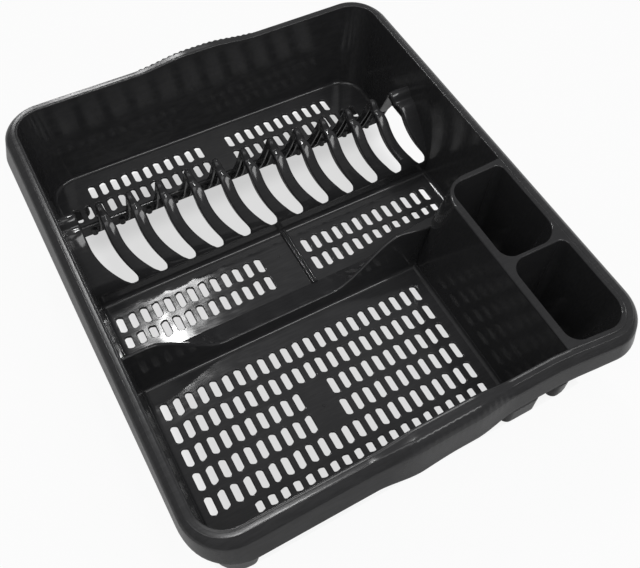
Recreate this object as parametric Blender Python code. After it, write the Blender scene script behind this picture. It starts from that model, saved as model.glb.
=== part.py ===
"""Dish drainer: a deep moulded tray with slotted floors, a plate rack and two cutlery pockets.

The tray stands on five short feet. From front to back it holds the cup bay with its slotted floor,
a wavy divider, a shallow middle trough, the plate rack, and a back trough. Two cutlery pockets fill
the front right corner. The real tray is one moulding: here its panels, arms and pockets are separate
solids that meet at hairline seams.

Units are metres, +Z is up, +X is to the right and -Y is the front. The origin is on the table,
under the middle of the tray.
"""

import math
from collections import namedtuple

import bmesh
import bpy
from mathutils import Vector

# Clearances and walls
SEAM = 0.0003
WALL = 0.0024
FLOOR = 0.0026
OVERRUN = 0.0020

# Heights above the table
FLOOR_HEIGHT = 0.0240
MIDDLE_STEP = 0.0036
BACK_STEP = 0.0079
RIM_HEIGHT = 0.1332

# Basin, inside faces
BASIN_HALF_WIDTH = 0.1827
BASIN_HALF_LENGTH = 0.2122
BASIN_CORNER = 0.0290
BASIN_DRAFT_SIDE = 0.0064
BASIN_DRAFT_END = 0.0030
BASIN_DRAFT_CORNER = -0.0040
CORNER_STEPS = 8

# Rim and its hanging skirt
RIM_LAND = 0.0054
SHOULDER_OUT = 0.0032
SHOULDER_DROP = 0.0030
SKIRT_SIDE_FLARE = 0.0177
SKIRT_END_FLARE = 0.0120
SKIRT_DROP = 0.0230
SKIRT_KNEE_OUT_SHARE = 0.4
SKIRT_KNEE_DROP_SHARE = 0.45

# Grips in the middle of the front and back rims
GRIP_HALF_LENGTH = 0.0660
GRIP_BLEND = 0.0420
GRIP_RISE = 0.0085
GRIP_PUSH = 0.0060
GRIP_DEEP = 0.0080
GRIP_RIB_PITCH = 0.0062
GRIP_RIB_HEIGHT = 0.0011

# Drain slots
SLOT_PITCH = 0.0120
SLOT_WIDTH = 0.0060
SLOT_LENGTH = 0.0172
SLOT_SLANT_SHARE = 0.5
SLOT_CORNER = 0.0022
SLOT_MARGIN = 0.0016

# Cup bay in front
BAY_ROW_SHARE = 0.1363
BAY_FIRST_COLUMN = 0.0110
BAY_FIRST_ROW_SHARE = 0.169
GATE_PAD_FROM_LEFT = 0.1373
GATE_PAD_SHARE = 0.512
GATE_PAD_HALF_WIDTH = 0.0110
GATE_PAD_HALF_LENGTH = 0.0190

# Divider between the cup bay and the middle trough
DIVIDER_RUN_SHARE = 0.123
DIVIDER_LEAN_SHARE = 0.13
DIVIDER_RIDGE = 0.0036
DIVIDER_LOW = 0.0138
DIVIDER_HIGH = 0.0540
DIVIDER_LOW_START = -0.0970
DIVIDER_LOW_END = 0.0134
DIVIDER_LEFT_RAMP = 0.0440
DIVIDER_RIGHT_RAMP = 0.0540
DIVIDER_RAMP_STEPS = 6

# Middle trough
MIDDLE_LENGTH_SHARE = 0.3256
MIDDLE_ROW_SHARE = 0.327
MIDDLE_FIRST_ROW_SHARE = 0.379
MIDDLE_ROWS = 2
MIDDLE_COLUMNS = 13
MIDDLE_LEFT_COLUMN = 0.0086
MIDDLE_RIGHT_COLUMN = 0.0108
RIB_LEFT_X = 0.0060
RIB_WIDTH = 0.0060
RIB_HEIGHT = 0.0016

# Plate rack
RACK_LENGTH_SHARE = 0.4307
RACK_RISER = 0.0170
RACK_RISER_RUN = 0.0050
RACK_ARM_RISE = 0.0290
RACK_PITCH = 0.0294
RACK_CENTRE_X = -0.0010
RACK_GAP = 0.0186
RACK_GAP_FRONT = 0.0132
RACK_GAP_TIP_RISE = 0.0158
RACK_GAP_TIP_RADIUS = 0.0042
RACK_SWEEP = 0.0150
RACK_SWEEP_RUN_SHARE = 0.3435
RISER_CROWN_SHARES = (0.3, 0.6)
RACK_LUG = 0.0050
ARM_SKIN = 0.0024
ARM_FLANGE = 0.0020
ARM_DEPTH = 0.0070
ARM_SLOPE_STEPS = 5
ARM_CROWN_SHARE = 0.13
KNUCKLE_RUN_SHARE = 0.468
KNUCKLE_RISE = 0.0637
CREST_SHARES = (0.42, 0.10)
TOOTH_RUN_SHARE = 0.63
TOOTH_RISE = 0.0715
TOOTH_RADIUS = 0.0050
LEG_TOP_SHARES = (0.26, 0.15)
LEG_FOOT_SHARES = (0.80, 0.76)
SLOPE_TILT = math.radians(-48)
CREST_TILTS = [math.radians(angle) for angle in (-58, -62, -70, -90, -115, -140, -150, -90)]
LIP_HEIGHT = 0.0133
UNDERPASS_RISE = 0.0300
UNDERPASS_SLOPE = 0.0120

# Back trough
BACK_LENGTH_SHARE = 0.312
BACK_ROW_SHARE = 0.352
BACK_FIRST_ROW_SHARE = 0.391
BACK_ROW_COLUMNS = (11, 13)
BACK_SEAM_X = -0.0050
BACK_FIRST_COLUMN = 0.0180

# Cutlery pocket block in the front right corner
BLOCK_WIDTH = 0.0739
BLOCK_LEFT_DRAFT = 0.0120
BLOCK_BACK_DRAFT = 0.0168
BLOCK_CORNER = 0.0290
BLOCK_BASE_CORNER = 0.0380
BLOCK_BEVEL_WIDTH = 0.0227
BLOCK_BEVEL_RUN = 0.0200
BLOCK_BEVEL_TOP_RUN = 0.0010
BLOCK_DROP = 0.0012
POCKET_LEFT_LAND = 0.0072
POCKET_BACK_LAND = 0.0057
POCKET_BRIDGE = 0.0068
POCKET_BRIDGE_SHARE = 0.5
POCKET_TAPER = 0.0060
POCKET_CORNER = 0.0158
BLOCK_CORNER_STEPS = 5
POCKET_SLOT_INSET = 0.0130

# Feet
FOOT_WALL = 0.0024
FOOT_PROUD = 0.0020
FOOT_LENGTH = 0.0330
FOOT_WIDTH = 0.0340
FOOT_FLARE = 0.0010
FOOT_CORNER = 0.0070
FOOT_OUTER_CORNER = 0.0260
FOOT_CORNER_STEPS = 3
FOOT_INNER_REACH = 0.0102
FOOT_INNER_WIDTH = 0.0370

# Finish of the moulded plastic
PLASTIC_COLOUR = (0.022, 0.022, 0.024, 1.0)
PLASTIC_ROUGHNESS = 0.38
SMOOTH_ANGLE = math.radians(35)
QUARTER = math.radians(90)

# Layout from back to front, in shares of the basin's half length and of each trough
BACK_LENGTH = BASIN_HALF_LENGTH * BACK_LENGTH_SHARE
BACK_ROW_PITCH = BACK_LENGTH * BACK_ROW_SHARE
BACK_FIRST_ROW = BACK_LENGTH * BACK_FIRST_ROW_SHARE
LIP_Y = BASIN_HALF_LENGTH - BACK_LENGTH
RACK_LENGTH = BASIN_HALF_LENGTH * RACK_LENGTH_SHARE
RACK_SWEEP_RUN = RACK_LENGTH * RACK_SWEEP_RUN_SHARE
RACK_FRONT_Y = LIP_Y - RACK_LENGTH
RACK_ARM_Y = RACK_FRONT_Y + RACK_RISER_RUN
KNUCKLE_Y = RACK_FRONT_Y + RACK_LENGTH * KNUCKLE_RUN_SHARE
TOOTH_Y = RACK_FRONT_Y + RACK_LENGTH * TOOTH_RUN_SHARE
MIDDLE_LENGTH = BASIN_HALF_LENGTH * MIDDLE_LENGTH_SHARE
MIDDLE_ROW_PITCH = MIDDLE_LENGTH * MIDDLE_ROW_SHARE
MIDDLE_FIRST_ROW = MIDDLE_LENGTH * MIDDLE_FIRST_ROW_SHARE
MIDDLE_FRONT_Y = RACK_FRONT_Y - MIDDLE_LENGTH
DIVIDER_FOOT_Y = MIDDLE_FRONT_Y - BASIN_HALF_LENGTH * DIVIDER_RUN_SHARE
BAY_LENGTH = BASIN_HALF_LENGTH + DIVIDER_FOOT_Y
BAY_ROW_PITCH = BAY_LENGTH * BAY_ROW_SHARE
BAY_FIRST_ROW = BAY_LENGTH * BAY_FIRST_ROW_SHARE
GATE_PAD_X = GATE_PAD_FROM_LEFT - BASIN_HALF_WIDTH
GATE_PAD_Y = DIVIDER_FOOT_Y - BAY_LENGTH * GATE_PAD_SHARE
BLOCK_LEFT_X = BASIN_HALF_WIDTH - BLOCK_WIDTH
BLOCK_BEVEL_X = BASIN_HALF_WIDTH - BLOCK_BEVEL_WIDTH
POCKET_BACK_Y = MIDDLE_FRONT_Y - BLOCK_BACK_DRAFT - POCKET_BACK_LAND
POCKET_SPAN = (BASIN_HALF_LENGTH + POCKET_BACK_Y) * POCKET_BRIDGE_SHARE
POCKET_BRIDGE_Y = POCKET_BACK_Y - POCKET_SPAN
FOOT_INNER_X = BLOCK_LEFT_X - FOOT_INNER_REACH

# Levels that follow from the sizes above
MIDDLE_HEIGHT = FLOOR_HEIGHT + MIDDLE_STEP
BACK_HEIGHT = FLOOR_HEIGHT + BACK_STEP
WALL_FOOT = FLOOR_HEIGHT - FLOOR
WALL_TOP = RIM_HEIGHT - WALL - SEAM
BLOCK_TOP = RIM_HEIGHT - BLOCK_DROP
ARM_FOOT_HEIGHT = MIDDLE_HEIGHT + RACK_ARM_RISE

# One corner of a side's cross-section: how far it stands out, how high, and how the grip moves it
Edge = namedtuple("Edge", "half_width half_length corner height rise push ribs")

# One place along a rack arm: its outer line, and the way and depth that its flanges hang
Station = namedtuple("Station", "y z tilt depth")


def lerp(start, end, share):
    """Value between start and end."""
    return start + (end - start) * share


def ease(share):
    """Smooth step from 0 to 1."""
    share = min(max(share, 0.0), 1.0)
    return share * share * (3.0 - 2.0 * share)


def basin_share(height):
    """Share of the way up from the cup bay's floor to the rim."""
    return (height - FLOOR_HEIGHT) / (RIM_HEIGHT - FLOOR_HEIGHT)


def basin_half_width(height):
    """Half the basin's width between its inside faces at a height."""
    return BASIN_HALF_WIDTH + BASIN_DRAFT_SIDE * basin_share(height)


def basin_half_length(height):
    """Half the basin's length between its inside faces at a height."""
    return BASIN_HALF_LENGTH + BASIN_DRAFT_END * basin_share(height)


def basin_corner(height):
    """Corner radius of the basin's inside faces at a height."""
    return BASIN_CORNER + BASIN_DRAFT_CORNER * basin_share(height)


def arc(centre_x, centre_y, radius, start, sweep, steps):
    """Points along an arc, both ends included."""
    points = []
    for step in range(steps + 1):
        angle = start + sweep * step / steps
        points.append((centre_x + radius * math.cos(angle), centre_y + radius * math.sin(angle)))
    return points


def rounded_outline(left, right, front, back, radii, steps):
    """Rectangle with rounded corners, anticlockwise from the front left corner."""
    centres = (
        (left + radii[0], front + radii[0]),
        (right - radii[1], front + radii[1]),
        (right - radii[2], back - radii[2]),
        (left + radii[3], back - radii[3]),
    )
    points = []
    for corner, (centre, radius) in enumerate(zip(centres, radii)):
        points += arc(*centre, radius, math.pi + corner * QUARTER, QUARTER, steps)
    return points


def basin_outline(height, inset):
    """The basin's inside outline at a height, drawn in by inset."""
    half_width = basin_half_width(height) - inset
    half_length = basin_half_length(height) - inset
    radii = [basin_corner(height) - inset] * 4
    return rounded_outline(-half_width, half_width, -half_length, half_length, radii, CORNER_STEPS)


def clip_outline(outline, axis, limit, keep_above):
    """Cut a convex outline along a line of constant x (axis 0) or y (axis 1)."""
    sign = 1.0 if keep_above else -1.0
    kept = []
    for index, point in enumerate(outline):
        previous = outline[index - 1]
        depth = sign * (point[axis] - limit)
        previous_depth = sign * (previous[axis] - limit)
        if depth * previous_depth < 0.0:
            share = previous_depth / (previous_depth - depth)
            kept.append((lerp(previous[0], point[0], share), lerp(previous[1], point[1], share)))
        if depth >= 0.0:
            kept.append(point)
    return kept


def panel_outline(height, left, right, front, back):
    """The part of the basin's outline between four lines, a seam inside its walls."""
    outline = basin_outline(height, SEAM)
    outline = clip_outline(outline, 0, left, True)
    outline = clip_outline(outline, 0, right, False)
    outline = clip_outline(outline, 1, front, True)
    return clip_outline(outline, 1, back, False)


def plastic(name):
    """Black moulded plastic for one sub-part."""
    material = bpy.data.materials.new(name + "_plastic")
    material.use_nodes = True
    shader = material.node_tree.nodes["Principled BSDF"]
    shader.inputs["Base Color"].default_value = PLASTIC_COLOUR
    shader.inputs["Roughness"].default_value = PLASTIC_ROUGHNESS
    shader.inputs["Metallic"].default_value = 0.0
    material.diffuse_color = PLASTIC_COLOUR
    return material


def finish(name, bm, smooth=False):
    """Turn a bmesh into a named object with its own material."""
    bmesh.ops.recalc_face_normals(bm, faces=bm.faces)
    mesh = bpy.data.meshes.new(name)
    bm.to_mesh(mesh)
    bm.free()
    if smooth:
        mesh.shade_smooth()
        mesh.set_sharp_from_angle(angle=SMOOTH_ANGLE)
    mesh.materials.append(plastic(name))
    piece = bpy.data.objects.new(name, mesh)
    bpy.context.collection.objects.link(piece)
    return piece


def add_loft(bm, rings, closed=False):
    """Skin a row of rings of equal length, capped at both ends unless it closes on itself."""
    rows = [[bm.verts.new(point) for point in ring] for ring in rings]
    pairs = list(zip(rows, rows[1:]))
    if closed:
        pairs.append((rows[-1], rows[0]))
    for row, following in pairs:
        for index in range(len(row)):
            bm.faces.new((row[index - 1], row[index], following[index], following[index - 1]))
    if not closed:
        bm.faces.new(rows[0])
        bm.faces.new(rows[-1])


def loft(name, rings, smooth=False):
    """One lofted piece."""
    bm = bmesh.new()
    add_loft(bm, rings)
    return finish(name, bm, smooth)


def upright(outline, bottom, top):
    """Two rings that stand an outline up between two heights."""
    return [[(x, y, height) for x, y in outline] for height in (bottom, top)]


def cutter(piece):
    """Mark a piece as a cutting tool that is never shown."""
    piece.hide_render = True
    piece.display_type = "WIRE"
    return piece


def cut(piece, tool, operation="DIFFERENCE"):
    """Cut a piece with a tool by an exact Boolean."""
    modifier = piece.modifiers.new(operation.lower() + "_" + tool.name, "BOOLEAN")
    modifier.operation = operation
    modifier.solver = "EXACT"
    modifier.object = tool


def slot_outline(centre_x, centre_y, slant):
    """A drain slot: straight sides, ends slanted alike, and its two sharp corners cut."""
    half_width = SLOT_WIDTH / 2
    half_length = SLOT_LENGTH / 2
    corners = []
    for side, end in ((-1, -1), (1, -1), (1, 1), (-1, 1)):
        x = side * half_width
        corners.append(Vector((x, end * half_length + slant * x)))
    outline = []
    for index, corner in enumerate(corners):
        before, after = corners[index - 1], corners[(index + 1) % len(corners)]
        points = [corner]
        if (before - corner).angle(after - corner) < QUARTER:
            points = [corner + (end - corner).normalized() * SLOT_CORNER for end in (before, after)]
        outline += [(centre_x + point.x, centre_y + point.y) for point in points]
    return outline


def lies_inside(point, outline, margin):
    """Whether a point lies inside a convex anticlockwise outline by at least a margin."""
    for index, end in enumerate(outline):
        start = outline[index - 1]
        along = Vector((end[0] - start[0], end[1] - start[1]))
        if along.length == 0.0:
            continue
        along.normalize()
        if along.x * (point[1] - start[1]) - along.y * (point[0] - start[0]) < margin:
            return False
    return True


def slot_field(outline, columns, rows, blocked=()):
    """Slots on a grid, those left out that reach the outline's edge or a blocked rectangle."""
    slots = []
    for column, x in enumerate(columns):
        slant = SLOT_SLANT_SHARE if column % 2 else -SLOT_SLANT_SHARE
        for y in rows:
            slot = slot_outline(x, y, slant)
            if not all(lies_inside(point, outline, SLOT_MARGIN) for point in slot):
                continue
            if any(left < x < right and front < y < back for left, right, front, back in blocked):
                continue
            slots.append(slot)
    return slots


def steps_between(start, stop, pitch):
    """Places from start towards stop, one pitch apart."""
    count = int(abs(stop - start) / pitch) + 1
    sign = 1.0 if stop > start else -1.0
    return [start + sign * pitch * index for index in range(count)]


def grille(name, outline, top, slots):
    """A flat floor panel pierced by its slots: the face is filled round them and thickened."""
    bm = bmesh.new()
    for loop in [outline] + slots:
        corners = [bm.verts.new((x, y, top)) for x, y in loop]
        for index, corner in enumerate(corners):
            bm.edges.new((corners[index - 1], corner))
    bmesh.ops.triangle_fill(bm, edges=bm.edges[:], use_beauty=True, normal=(0.0, 0.0, 1.0))
    sheet = bmesh.ops.extrude_face_region(bm, geom=bm.faces[:])
    moved = [item for item in sheet["geom"] if isinstance(item, bmesh.types.BMVert)]
    bmesh.ops.translate(bm, verts=moved, vec=(0.0, 0.0, -FLOOR))
    return finish(name, bm)


def side_path(edge, side, straights, steps):
    """One side of the ring that an edge of the cross-section draws, from mitre to mitre.

    The path is laid out along the front and then turned by quarter turns to the side wanted:
    0 is the front, 1 the right, 2 the back and 3 the left.
    """
    along, across = edge.half_width, edge.half_length
    if side % 2:
        along, across = across, along
    radius = edge.corner
    centre_x = along - radius
    centre_y = radius - across
    path = arc(-centre_x, centre_y, radius, math.pi + QUARTER / 2, QUARTER / 2, steps)
    path += [(x, -across) for x in straights]
    path += arc(centre_x, centre_y, radius, -QUARTER, QUARTER / 2, steps)
    inset = SEAM / 2 * math.cos(QUARTER / 2)
    path[0] = (path[0][0] + inset, path[0][1] - inset)
    path[-1] = (path[-1][0] - inset, path[-1][1] - inset)
    points = []
    for x, y in path:
        bump = 0.0
        wave = 0.0
        if straights:
            bump = ease((GRIP_HALF_LENGTH - abs(x)) / GRIP_BLEND)
            if x in straights and straights.index(x) % 2 and bump > 0.0:
                wave = edge.ribs * GRIP_RIB_HEIGHT
        y -= edge.push * bump + wave
        for turn in range(side):
            x, y = -y, x
        points.append((x, y, edge.height + edge.rise * bump))
    return points


def side_piece(name, side, profile, straights=()):
    """A wall or a length of rim: its cross-section carried along one side of the tray."""
    lines = [side_path(edge, side, straights, CORNER_STEPS // 2) for edge in profile]
    return loft(name, list(zip(*lines)), smooth=True)


def wall_profile():
    """Cross-section of the basin wall, drafted outwards to the rim."""
    profile = []
    for height, out in ((WALL_FOOT, 0.0), (WALL_TOP, 0.0), (WALL_TOP, WALL), (WALL_FOOT, WALL)):
        profile.append(Edge(
            basin_half_width(height) + out,
            basin_half_length(height) + out,
            basin_corner(height) + out,
            height, 0.0, 0.0, 0.0,
        ))
    return profile


def rim_edge(side_out, end_out, drop, rise=0.0, push=0.0, ribs=0.0):
    """One corner of the rim's cross-section, measured from the basin's inside top edge."""
    return Edge(
        basin_half_width(RIM_HEIGHT) + side_out,
        basin_half_length(RIM_HEIGHT) + end_out,
        basin_corner(RIM_HEIGHT) + side_out,
        RIM_HEIGHT - drop, rise, push, ribs,
    )


def rim_profile():
    """Cross-section of the rim: a flat land, a rounded shoulder and a flared hanging skirt."""
    shoulder = RIM_LAND + SHOULDER_OUT
    side_knee = lerp(shoulder, SKIRT_SIDE_FLARE, SKIRT_KNEE_OUT_SHARE)
    end_knee = lerp(shoulder, SKIRT_END_FLARE, SKIRT_KNEE_OUT_SHARE)
    knee_drop = lerp(SHOULDER_DROP, SKIRT_DROP, SKIRT_KNEE_DROP_SHARE)
    side_hem = SKIRT_SIDE_FLARE - WALL
    end_hem = SKIRT_END_FLARE - WALL
    return [
        rim_edge(0.0, 0.0, WALL),
        rim_edge(0.0, 0.0, 0.0, rise=GRIP_RISE),
        rim_edge(RIM_LAND, RIM_LAND, 0.0, rise=GRIP_RISE),
        rim_edge(shoulder, shoulder, SHOULDER_DROP, rise=GRIP_RISE, push=GRIP_PUSH, ribs=1.0),
        rim_edge(side_knee, end_knee, knee_drop, push=GRIP_PUSH, ribs=1.0),
        rim_edge(SKIRT_SIDE_FLARE, SKIRT_END_FLARE, SKIRT_DROP, rise=-GRIP_DEEP, push=GRIP_PUSH),
        rim_edge(side_hem, end_hem, SKIRT_DROP, rise=-GRIP_DEEP, push=GRIP_PUSH),
        rim_edge(side_knee - WALL, end_knee - WALL, knee_drop, push=GRIP_PUSH),
        rim_edge(shoulder - WALL, shoulder - WALL, SHOULDER_DROP + WALL, rise=GRIP_RISE, push=GRIP_PUSH),
        rim_edge(WALL + SEAM, WALL + SEAM, WALL),
    ]


def make_underpass_tool():
    """Cutter for the low opening under the rack in both side walls."""
    slope = UNDERPASS_SLOPE
    top = MIDDLE_HEIGHT + UNDERPASS_RISE
    section = [
        (RACK_ARM_Y, WALL_FOOT - OVERRUN),
        (LIP_Y, WALL_FOOT - OVERRUN),
        (LIP_Y - slope, top),
        (RACK_ARM_Y + slope, top),
    ]
    reach = basin_half_width(RIM_HEIGHT) + WALL + OVERRUN
    rings = [[(sign * reach, y, z) for y, z in section] for sign in (-1, 1)]
    return cutter(loft("tool_underpass", rings))


def make_basin():
    """Four walls and four lengths of rim, mitred in the corners."""
    ribs = int(GRIP_HALF_LENGTH / GRIP_RIB_PITCH)
    half_pitch = GRIP_RIB_PITCH / 2
    grip_places = [half_pitch * index for index in range(-2 * ribs, 2 * ribs + 1)]
    underpass = make_underpass_tool()
    for side, name in enumerate(("front", "right", "back", "left")):
        wall = side_piece("wall_" + name, side, wall_profile())
        if side % 2:
            cut(wall, underpass)
        places = () if side % 2 else grip_places
        side_piece("rim_" + name, side, rim_profile(), places)


def foot_rectangles():
    """Footprint of each foot as left, right, front and back."""
    out_x = basin_half_width(WALL_FOOT) + WALL + FOOT_PROUD
    out_y = basin_half_length(WALL_FOOT) + WALL + FOOT_PROUD
    left = (-out_x, FOOT_WIDTH - out_x)
    right = (out_x - FOOT_WIDTH, out_x)
    front = (-out_y, FOOT_LENGTH - out_y)
    back = (out_y - FOOT_LENGTH, out_y)
    return {
        "front_left": (*left, *front),
        "front_right": (*right, *front),
        "back_right": (*right, *back),
        "back_left": (*left, *back),
        "front_inner": (FOOT_INNER_X, FOOT_INNER_X + FOOT_INNER_WIDTH, *front),
    }


def make_feet():
    """Hollow feet under the edge of the tray, flared to a flat sole and round at the tray's corners."""
    top = WALL_FOOT - SEAM
    levels = ((top, 0.0), (0.0, -FOOT_FLARE), (FOOT_WALL, FOOT_WALL - FOOT_FLARE), (top, FOOT_WALL))
    for corner, (name, (left, right, front, back)) in enumerate(foot_rectangles().items()):
        rings = []
        for height, inset in levels:
            radii = [FOOT_CORNER - inset] * 4
            if corner < len(radii):
                radii[corner] = FOOT_OUTER_CORNER - inset
            outline = rounded_outline(
                left + inset, right - inset, front + inset, back - inset, radii, FOOT_CORNER_STEPS)
            rings.append([(x, y, height) for x, y in outline])
        bm = bmesh.new()
        add_cup(bm, rings)
        finish("foot_" + name, bm, smooth=True)


def add_cup(bm, rings):
    """Skin an open cup: outer top, outer foot, inner foot and inner top ring in that order."""
    rows = [[bm.verts.new(point) for point in ring] for ring in rings]
    for row, following in ((rows[0], rows[1]), (rows[2], rows[3]), (rows[3], rows[0])):
        for index in range(len(row)):
            bm.faces.new((row[index - 1], row[index], following[index], following[index - 1]))
    bm.faces.new(rows[1])
    bm.faces.new(rows[2])


def make_front_floor():
    """Slotted floor of the cup bay."""
    outline = panel_outline(
        WALL_FOOT, -BASIN_HALF_WIDTH, BLOCK_LEFT_X - SEAM, -BASIN_HALF_LENGTH, DIVIDER_FOOT_Y - SEAM)
    left = BASIN_HALF_WIDTH - BAY_FIRST_COLUMN
    columns = steps_between(-left, BLOCK_LEFT_X, SLOT_PITCH)
    rows = steps_between(DIVIDER_FOOT_Y - BAY_FIRST_ROW, -BASIN_HALF_LENGTH, BAY_ROW_PITCH)
    gate_pad = (
        GATE_PAD_X - GATE_PAD_HALF_WIDTH, GATE_PAD_X + GATE_PAD_HALF_WIDTH,
        GATE_PAD_Y - GATE_PAD_HALF_LENGTH, GATE_PAD_Y + GATE_PAD_HALF_LENGTH,
    )
    blocked = [gate_pad] + list(foot_rectangles().values())
    grille("front_floor", outline, FLOOR_HEIGHT, slot_field(outline, columns, rows, blocked))


def make_middle_floor():
    """Two slotted floor panels of the middle trough and the drain rib between them."""
    back = RACK_FRONT_Y - SEAM
    front = MIDDLE_FRONT_Y + SEAM
    first_row = RACK_FRONT_Y - MIDDLE_FIRST_ROW
    rows = [first_row - MIDDLE_ROW_PITCH * row for row in range(MIDDLE_ROWS)]
    outline = panel_outline(MIDDLE_HEIGHT - FLOOR, -BASIN_HALF_WIDTH, RIB_LEFT_X - SEAM, front, back)
    first_column = MIDDLE_LEFT_COLUMN - BASIN_HALF_WIDTH
    columns = [first_column + SLOT_PITCH * column for column in range(MIDDLE_COLUMNS)]
    grille("middle_floor_left", outline, MIDDLE_HEIGHT, slot_field(outline, columns, rows))

    left = RIB_LEFT_X + RIB_WIDTH
    right = basin_half_width(MIDDLE_HEIGHT - FLOOR) - SEAM
    bevel_end = MIDDLE_FRONT_Y + BLOCK_BEVEL_RUN
    outline = [
        (left + SEAM, front),
        (BLOCK_BEVEL_X, front),
        (right, bevel_end),
        (right, back),
        (left + SEAM, back),
    ]
    first_column = left + MIDDLE_RIGHT_COLUMN
    columns = [first_column + SLOT_PITCH * column for column in range(MIDDLE_COLUMNS)]
    grille("middle_floor_right", outline, MIDDLE_HEIGHT, slot_field(outline, columns, rows))

    rib = [(RIB_LEFT_X, front), (left, front), (left, back), (RIB_LEFT_X, back)]
    loft("drain_rib", upright(rib, MIDDLE_HEIGHT - FLOOR, MIDDLE_HEIGHT + RIB_HEIGHT))


def make_back_floor():
    """Two slotted floor panels of the back trough and the lip that hangs from their front edge."""
    half_width = basin_half_width(BACK_HEIGHT - FLOOR)
    half_length = basin_half_length(BACK_HEIGHT - FLOOR)
    front = LIP_Y + WALL + SEAM
    for name, sign in (("left", -1), ("right", 1)):
        ends = sorted((BACK_SEAM_X + sign * SEAM / 2, sign * half_width))
        outline = panel_outline(BACK_HEIGHT - FLOOR, *ends, front, half_length)
        slots = []
        for row, count in enumerate(BACK_ROW_COLUMNS):
            y = half_length - BACK_FIRST_ROW - BACK_ROW_PITCH * row
            places = [BACK_FIRST_COLUMN + SLOT_PITCH * column for column in range(count)]
            slots += slot_field(outline, [BACK_SEAM_X + sign * place for place in places], [y])
        grille("back_floor_" + name, outline, BACK_HEIGHT, slots)
    lip = []
    for height in (BACK_HEIGHT - LIP_HEIGHT, BACK_HEIGHT):
        reach = basin_half_width(height) - SEAM
        lip.append([(x, y, height) for x, y in (
            (-reach, LIP_Y), (reach, LIP_Y), (reach, LIP_Y + WALL), (-reach, LIP_Y + WALL))])
    loft("back_lip", lip)


def block_outline(height, inset, overrun):
    """Outline of the pocket block: its free faces drawn in by inset, its wall sides run over."""
    share = basin_share(height)
    left = BLOCK_LEFT_X + BLOCK_LEFT_DRAFT * share + inset
    back = MIDDLE_FRONT_Y - BLOCK_BACK_DRAFT * share - inset
    right = basin_half_width(height) - SEAM + overrun
    front = SEAM - basin_half_length(height) - overrun
    slope = lerp(BLOCK_BEVEL_RUN, BLOCK_BEVEL_TOP_RUN, share) / (BASIN_HALF_WIDTH - BLOCK_BEVEL_X)
    bevel_y = back + (right - BLOCK_BEVEL_X) * slope
    radius = lerp(BLOCK_BASE_CORNER, BLOCK_CORNER, share) - inset
    corner = arc(left + radius, back - radius, radius, QUARTER, QUARTER, BLOCK_CORNER_STEPS)
    return [(left, front), (right, front), (right, bevel_y), (BLOCK_BEVEL_X, back)] + corner


def block_loft(name, inset, overrun, bottom, top):
    """The pocket block's drafted body between two heights."""
    rings = []
    for height in (bottom, top):
        rings.append([(x, y, height) for x, y in block_outline(height, inset, overrun)])
    return loft(name, rings, smooth=True)


def pocket_outline(height, grow, is_front):
    """Outline of one cutlery pocket's inside, tapered downwards, grown by a wall or a seat."""
    share = basin_share(height)
    taper = POCKET_TAPER * (1.0 - share) - grow
    left = BLOCK_LEFT_X + BLOCK_LEFT_DRAFT + POCKET_LEFT_LAND + taper
    right = basin_half_width(height) - SEAM - WALL + grow
    radii = [POCKET_CORNER + grow] * 4
    if is_front:
        front = SEAM + WALL - basin_half_length(height) - grow
        back = POCKET_BRIDGE_Y - POCKET_BRIDGE - taper
        radii[1] = basin_corner(height) - SEAM - WALL + grow
    else:
        front = POCKET_BRIDGE_Y + taper
        back = POCKET_BACK_Y - taper
    return rounded_outline(left, right, front, back, radii, CORNER_STEPS)


def pocket_loft(name, grow, is_front, bottom, top):
    """One cutlery pocket's form between two heights."""
    rings = []
    for height in (bottom, top):
        rings.append([(x, y, height) for x, y in pocket_outline(height, grow, is_front)])
    return loft(name, rings, smooth=True)


def pocket_slots(name, is_front):
    """Cutter for the drain slots in a pocket's floor."""
    outline = pocket_outline(FLOOR_HEIGHT, 0.0, is_front)
    left = min(x for x, y in outline)
    front = min(y for x, y in outline)
    back = max(y for x, y in outline)
    columns = steps_between(left + POCKET_SLOT_INSET, BASIN_HALF_WIDTH - POCKET_SLOT_INSET, SLOT_PITCH)
    rows = steps_between(front + POCKET_SLOT_INSET, back - POCKET_SLOT_INSET, BAY_ROW_PITCH)
    blocked = list(foot_rectangles().values())
    bm = bmesh.new()
    for slot in slot_field(outline, columns, rows, blocked):
        add_loft(bm, upright(slot, WALL_FOOT - OVERRUN, FLOOR_HEIGHT + OVERRUN))
    return cutter(finish(name, bm))


def make_pockets(basin_tool):
    """The block's outer shell and the two cutlery pockets that hang in it."""
    shell = block_loft("pocket_shell", 0.0, 0.0, WALL_FOOT, BLOCK_TOP)
    hollow = block_loft("tool_shell_hollow", WALL, OVERRUN, WALL_FOOT - OVERRUN, BLOCK_TOP - WALL)
    cut(shell, cutter(hollow))
    cut(shell, basin_tool, "INTERSECT")
    for name, is_front in (("front", True), ("back", False)):
        seat = pocket_loft("tool_seat_" + name, WALL + SEAM, is_front, WALL_FOOT - OVERRUN, RIM_HEIGHT)
        cut(shell, cutter(seat))
        pocket = pocket_loft("pocket_" + name, WALL, is_front, WALL_FOOT, BLOCK_TOP)
        inside = pocket_loft("tool_pocket_" + name, 0.0, is_front, FLOOR_HEIGHT, RIM_HEIGHT)
        cut(pocket, cutter(inside))
        cut(pocket, pocket_slots("tool_slots_" + name, is_front))


def ridge_rise(x):
    """Height of the divider's wavy ridge over the cup bay's floor."""
    left = ease((DIVIDER_LOW_START - x) / DIVIDER_LEFT_RAMP)
    right = ease((x - DIVIDER_LOW_END) / DIVIDER_RIGHT_RAMP)
    return lerp(DIVIDER_LOW, DIVIDER_HIGH, max(left, right))


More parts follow.
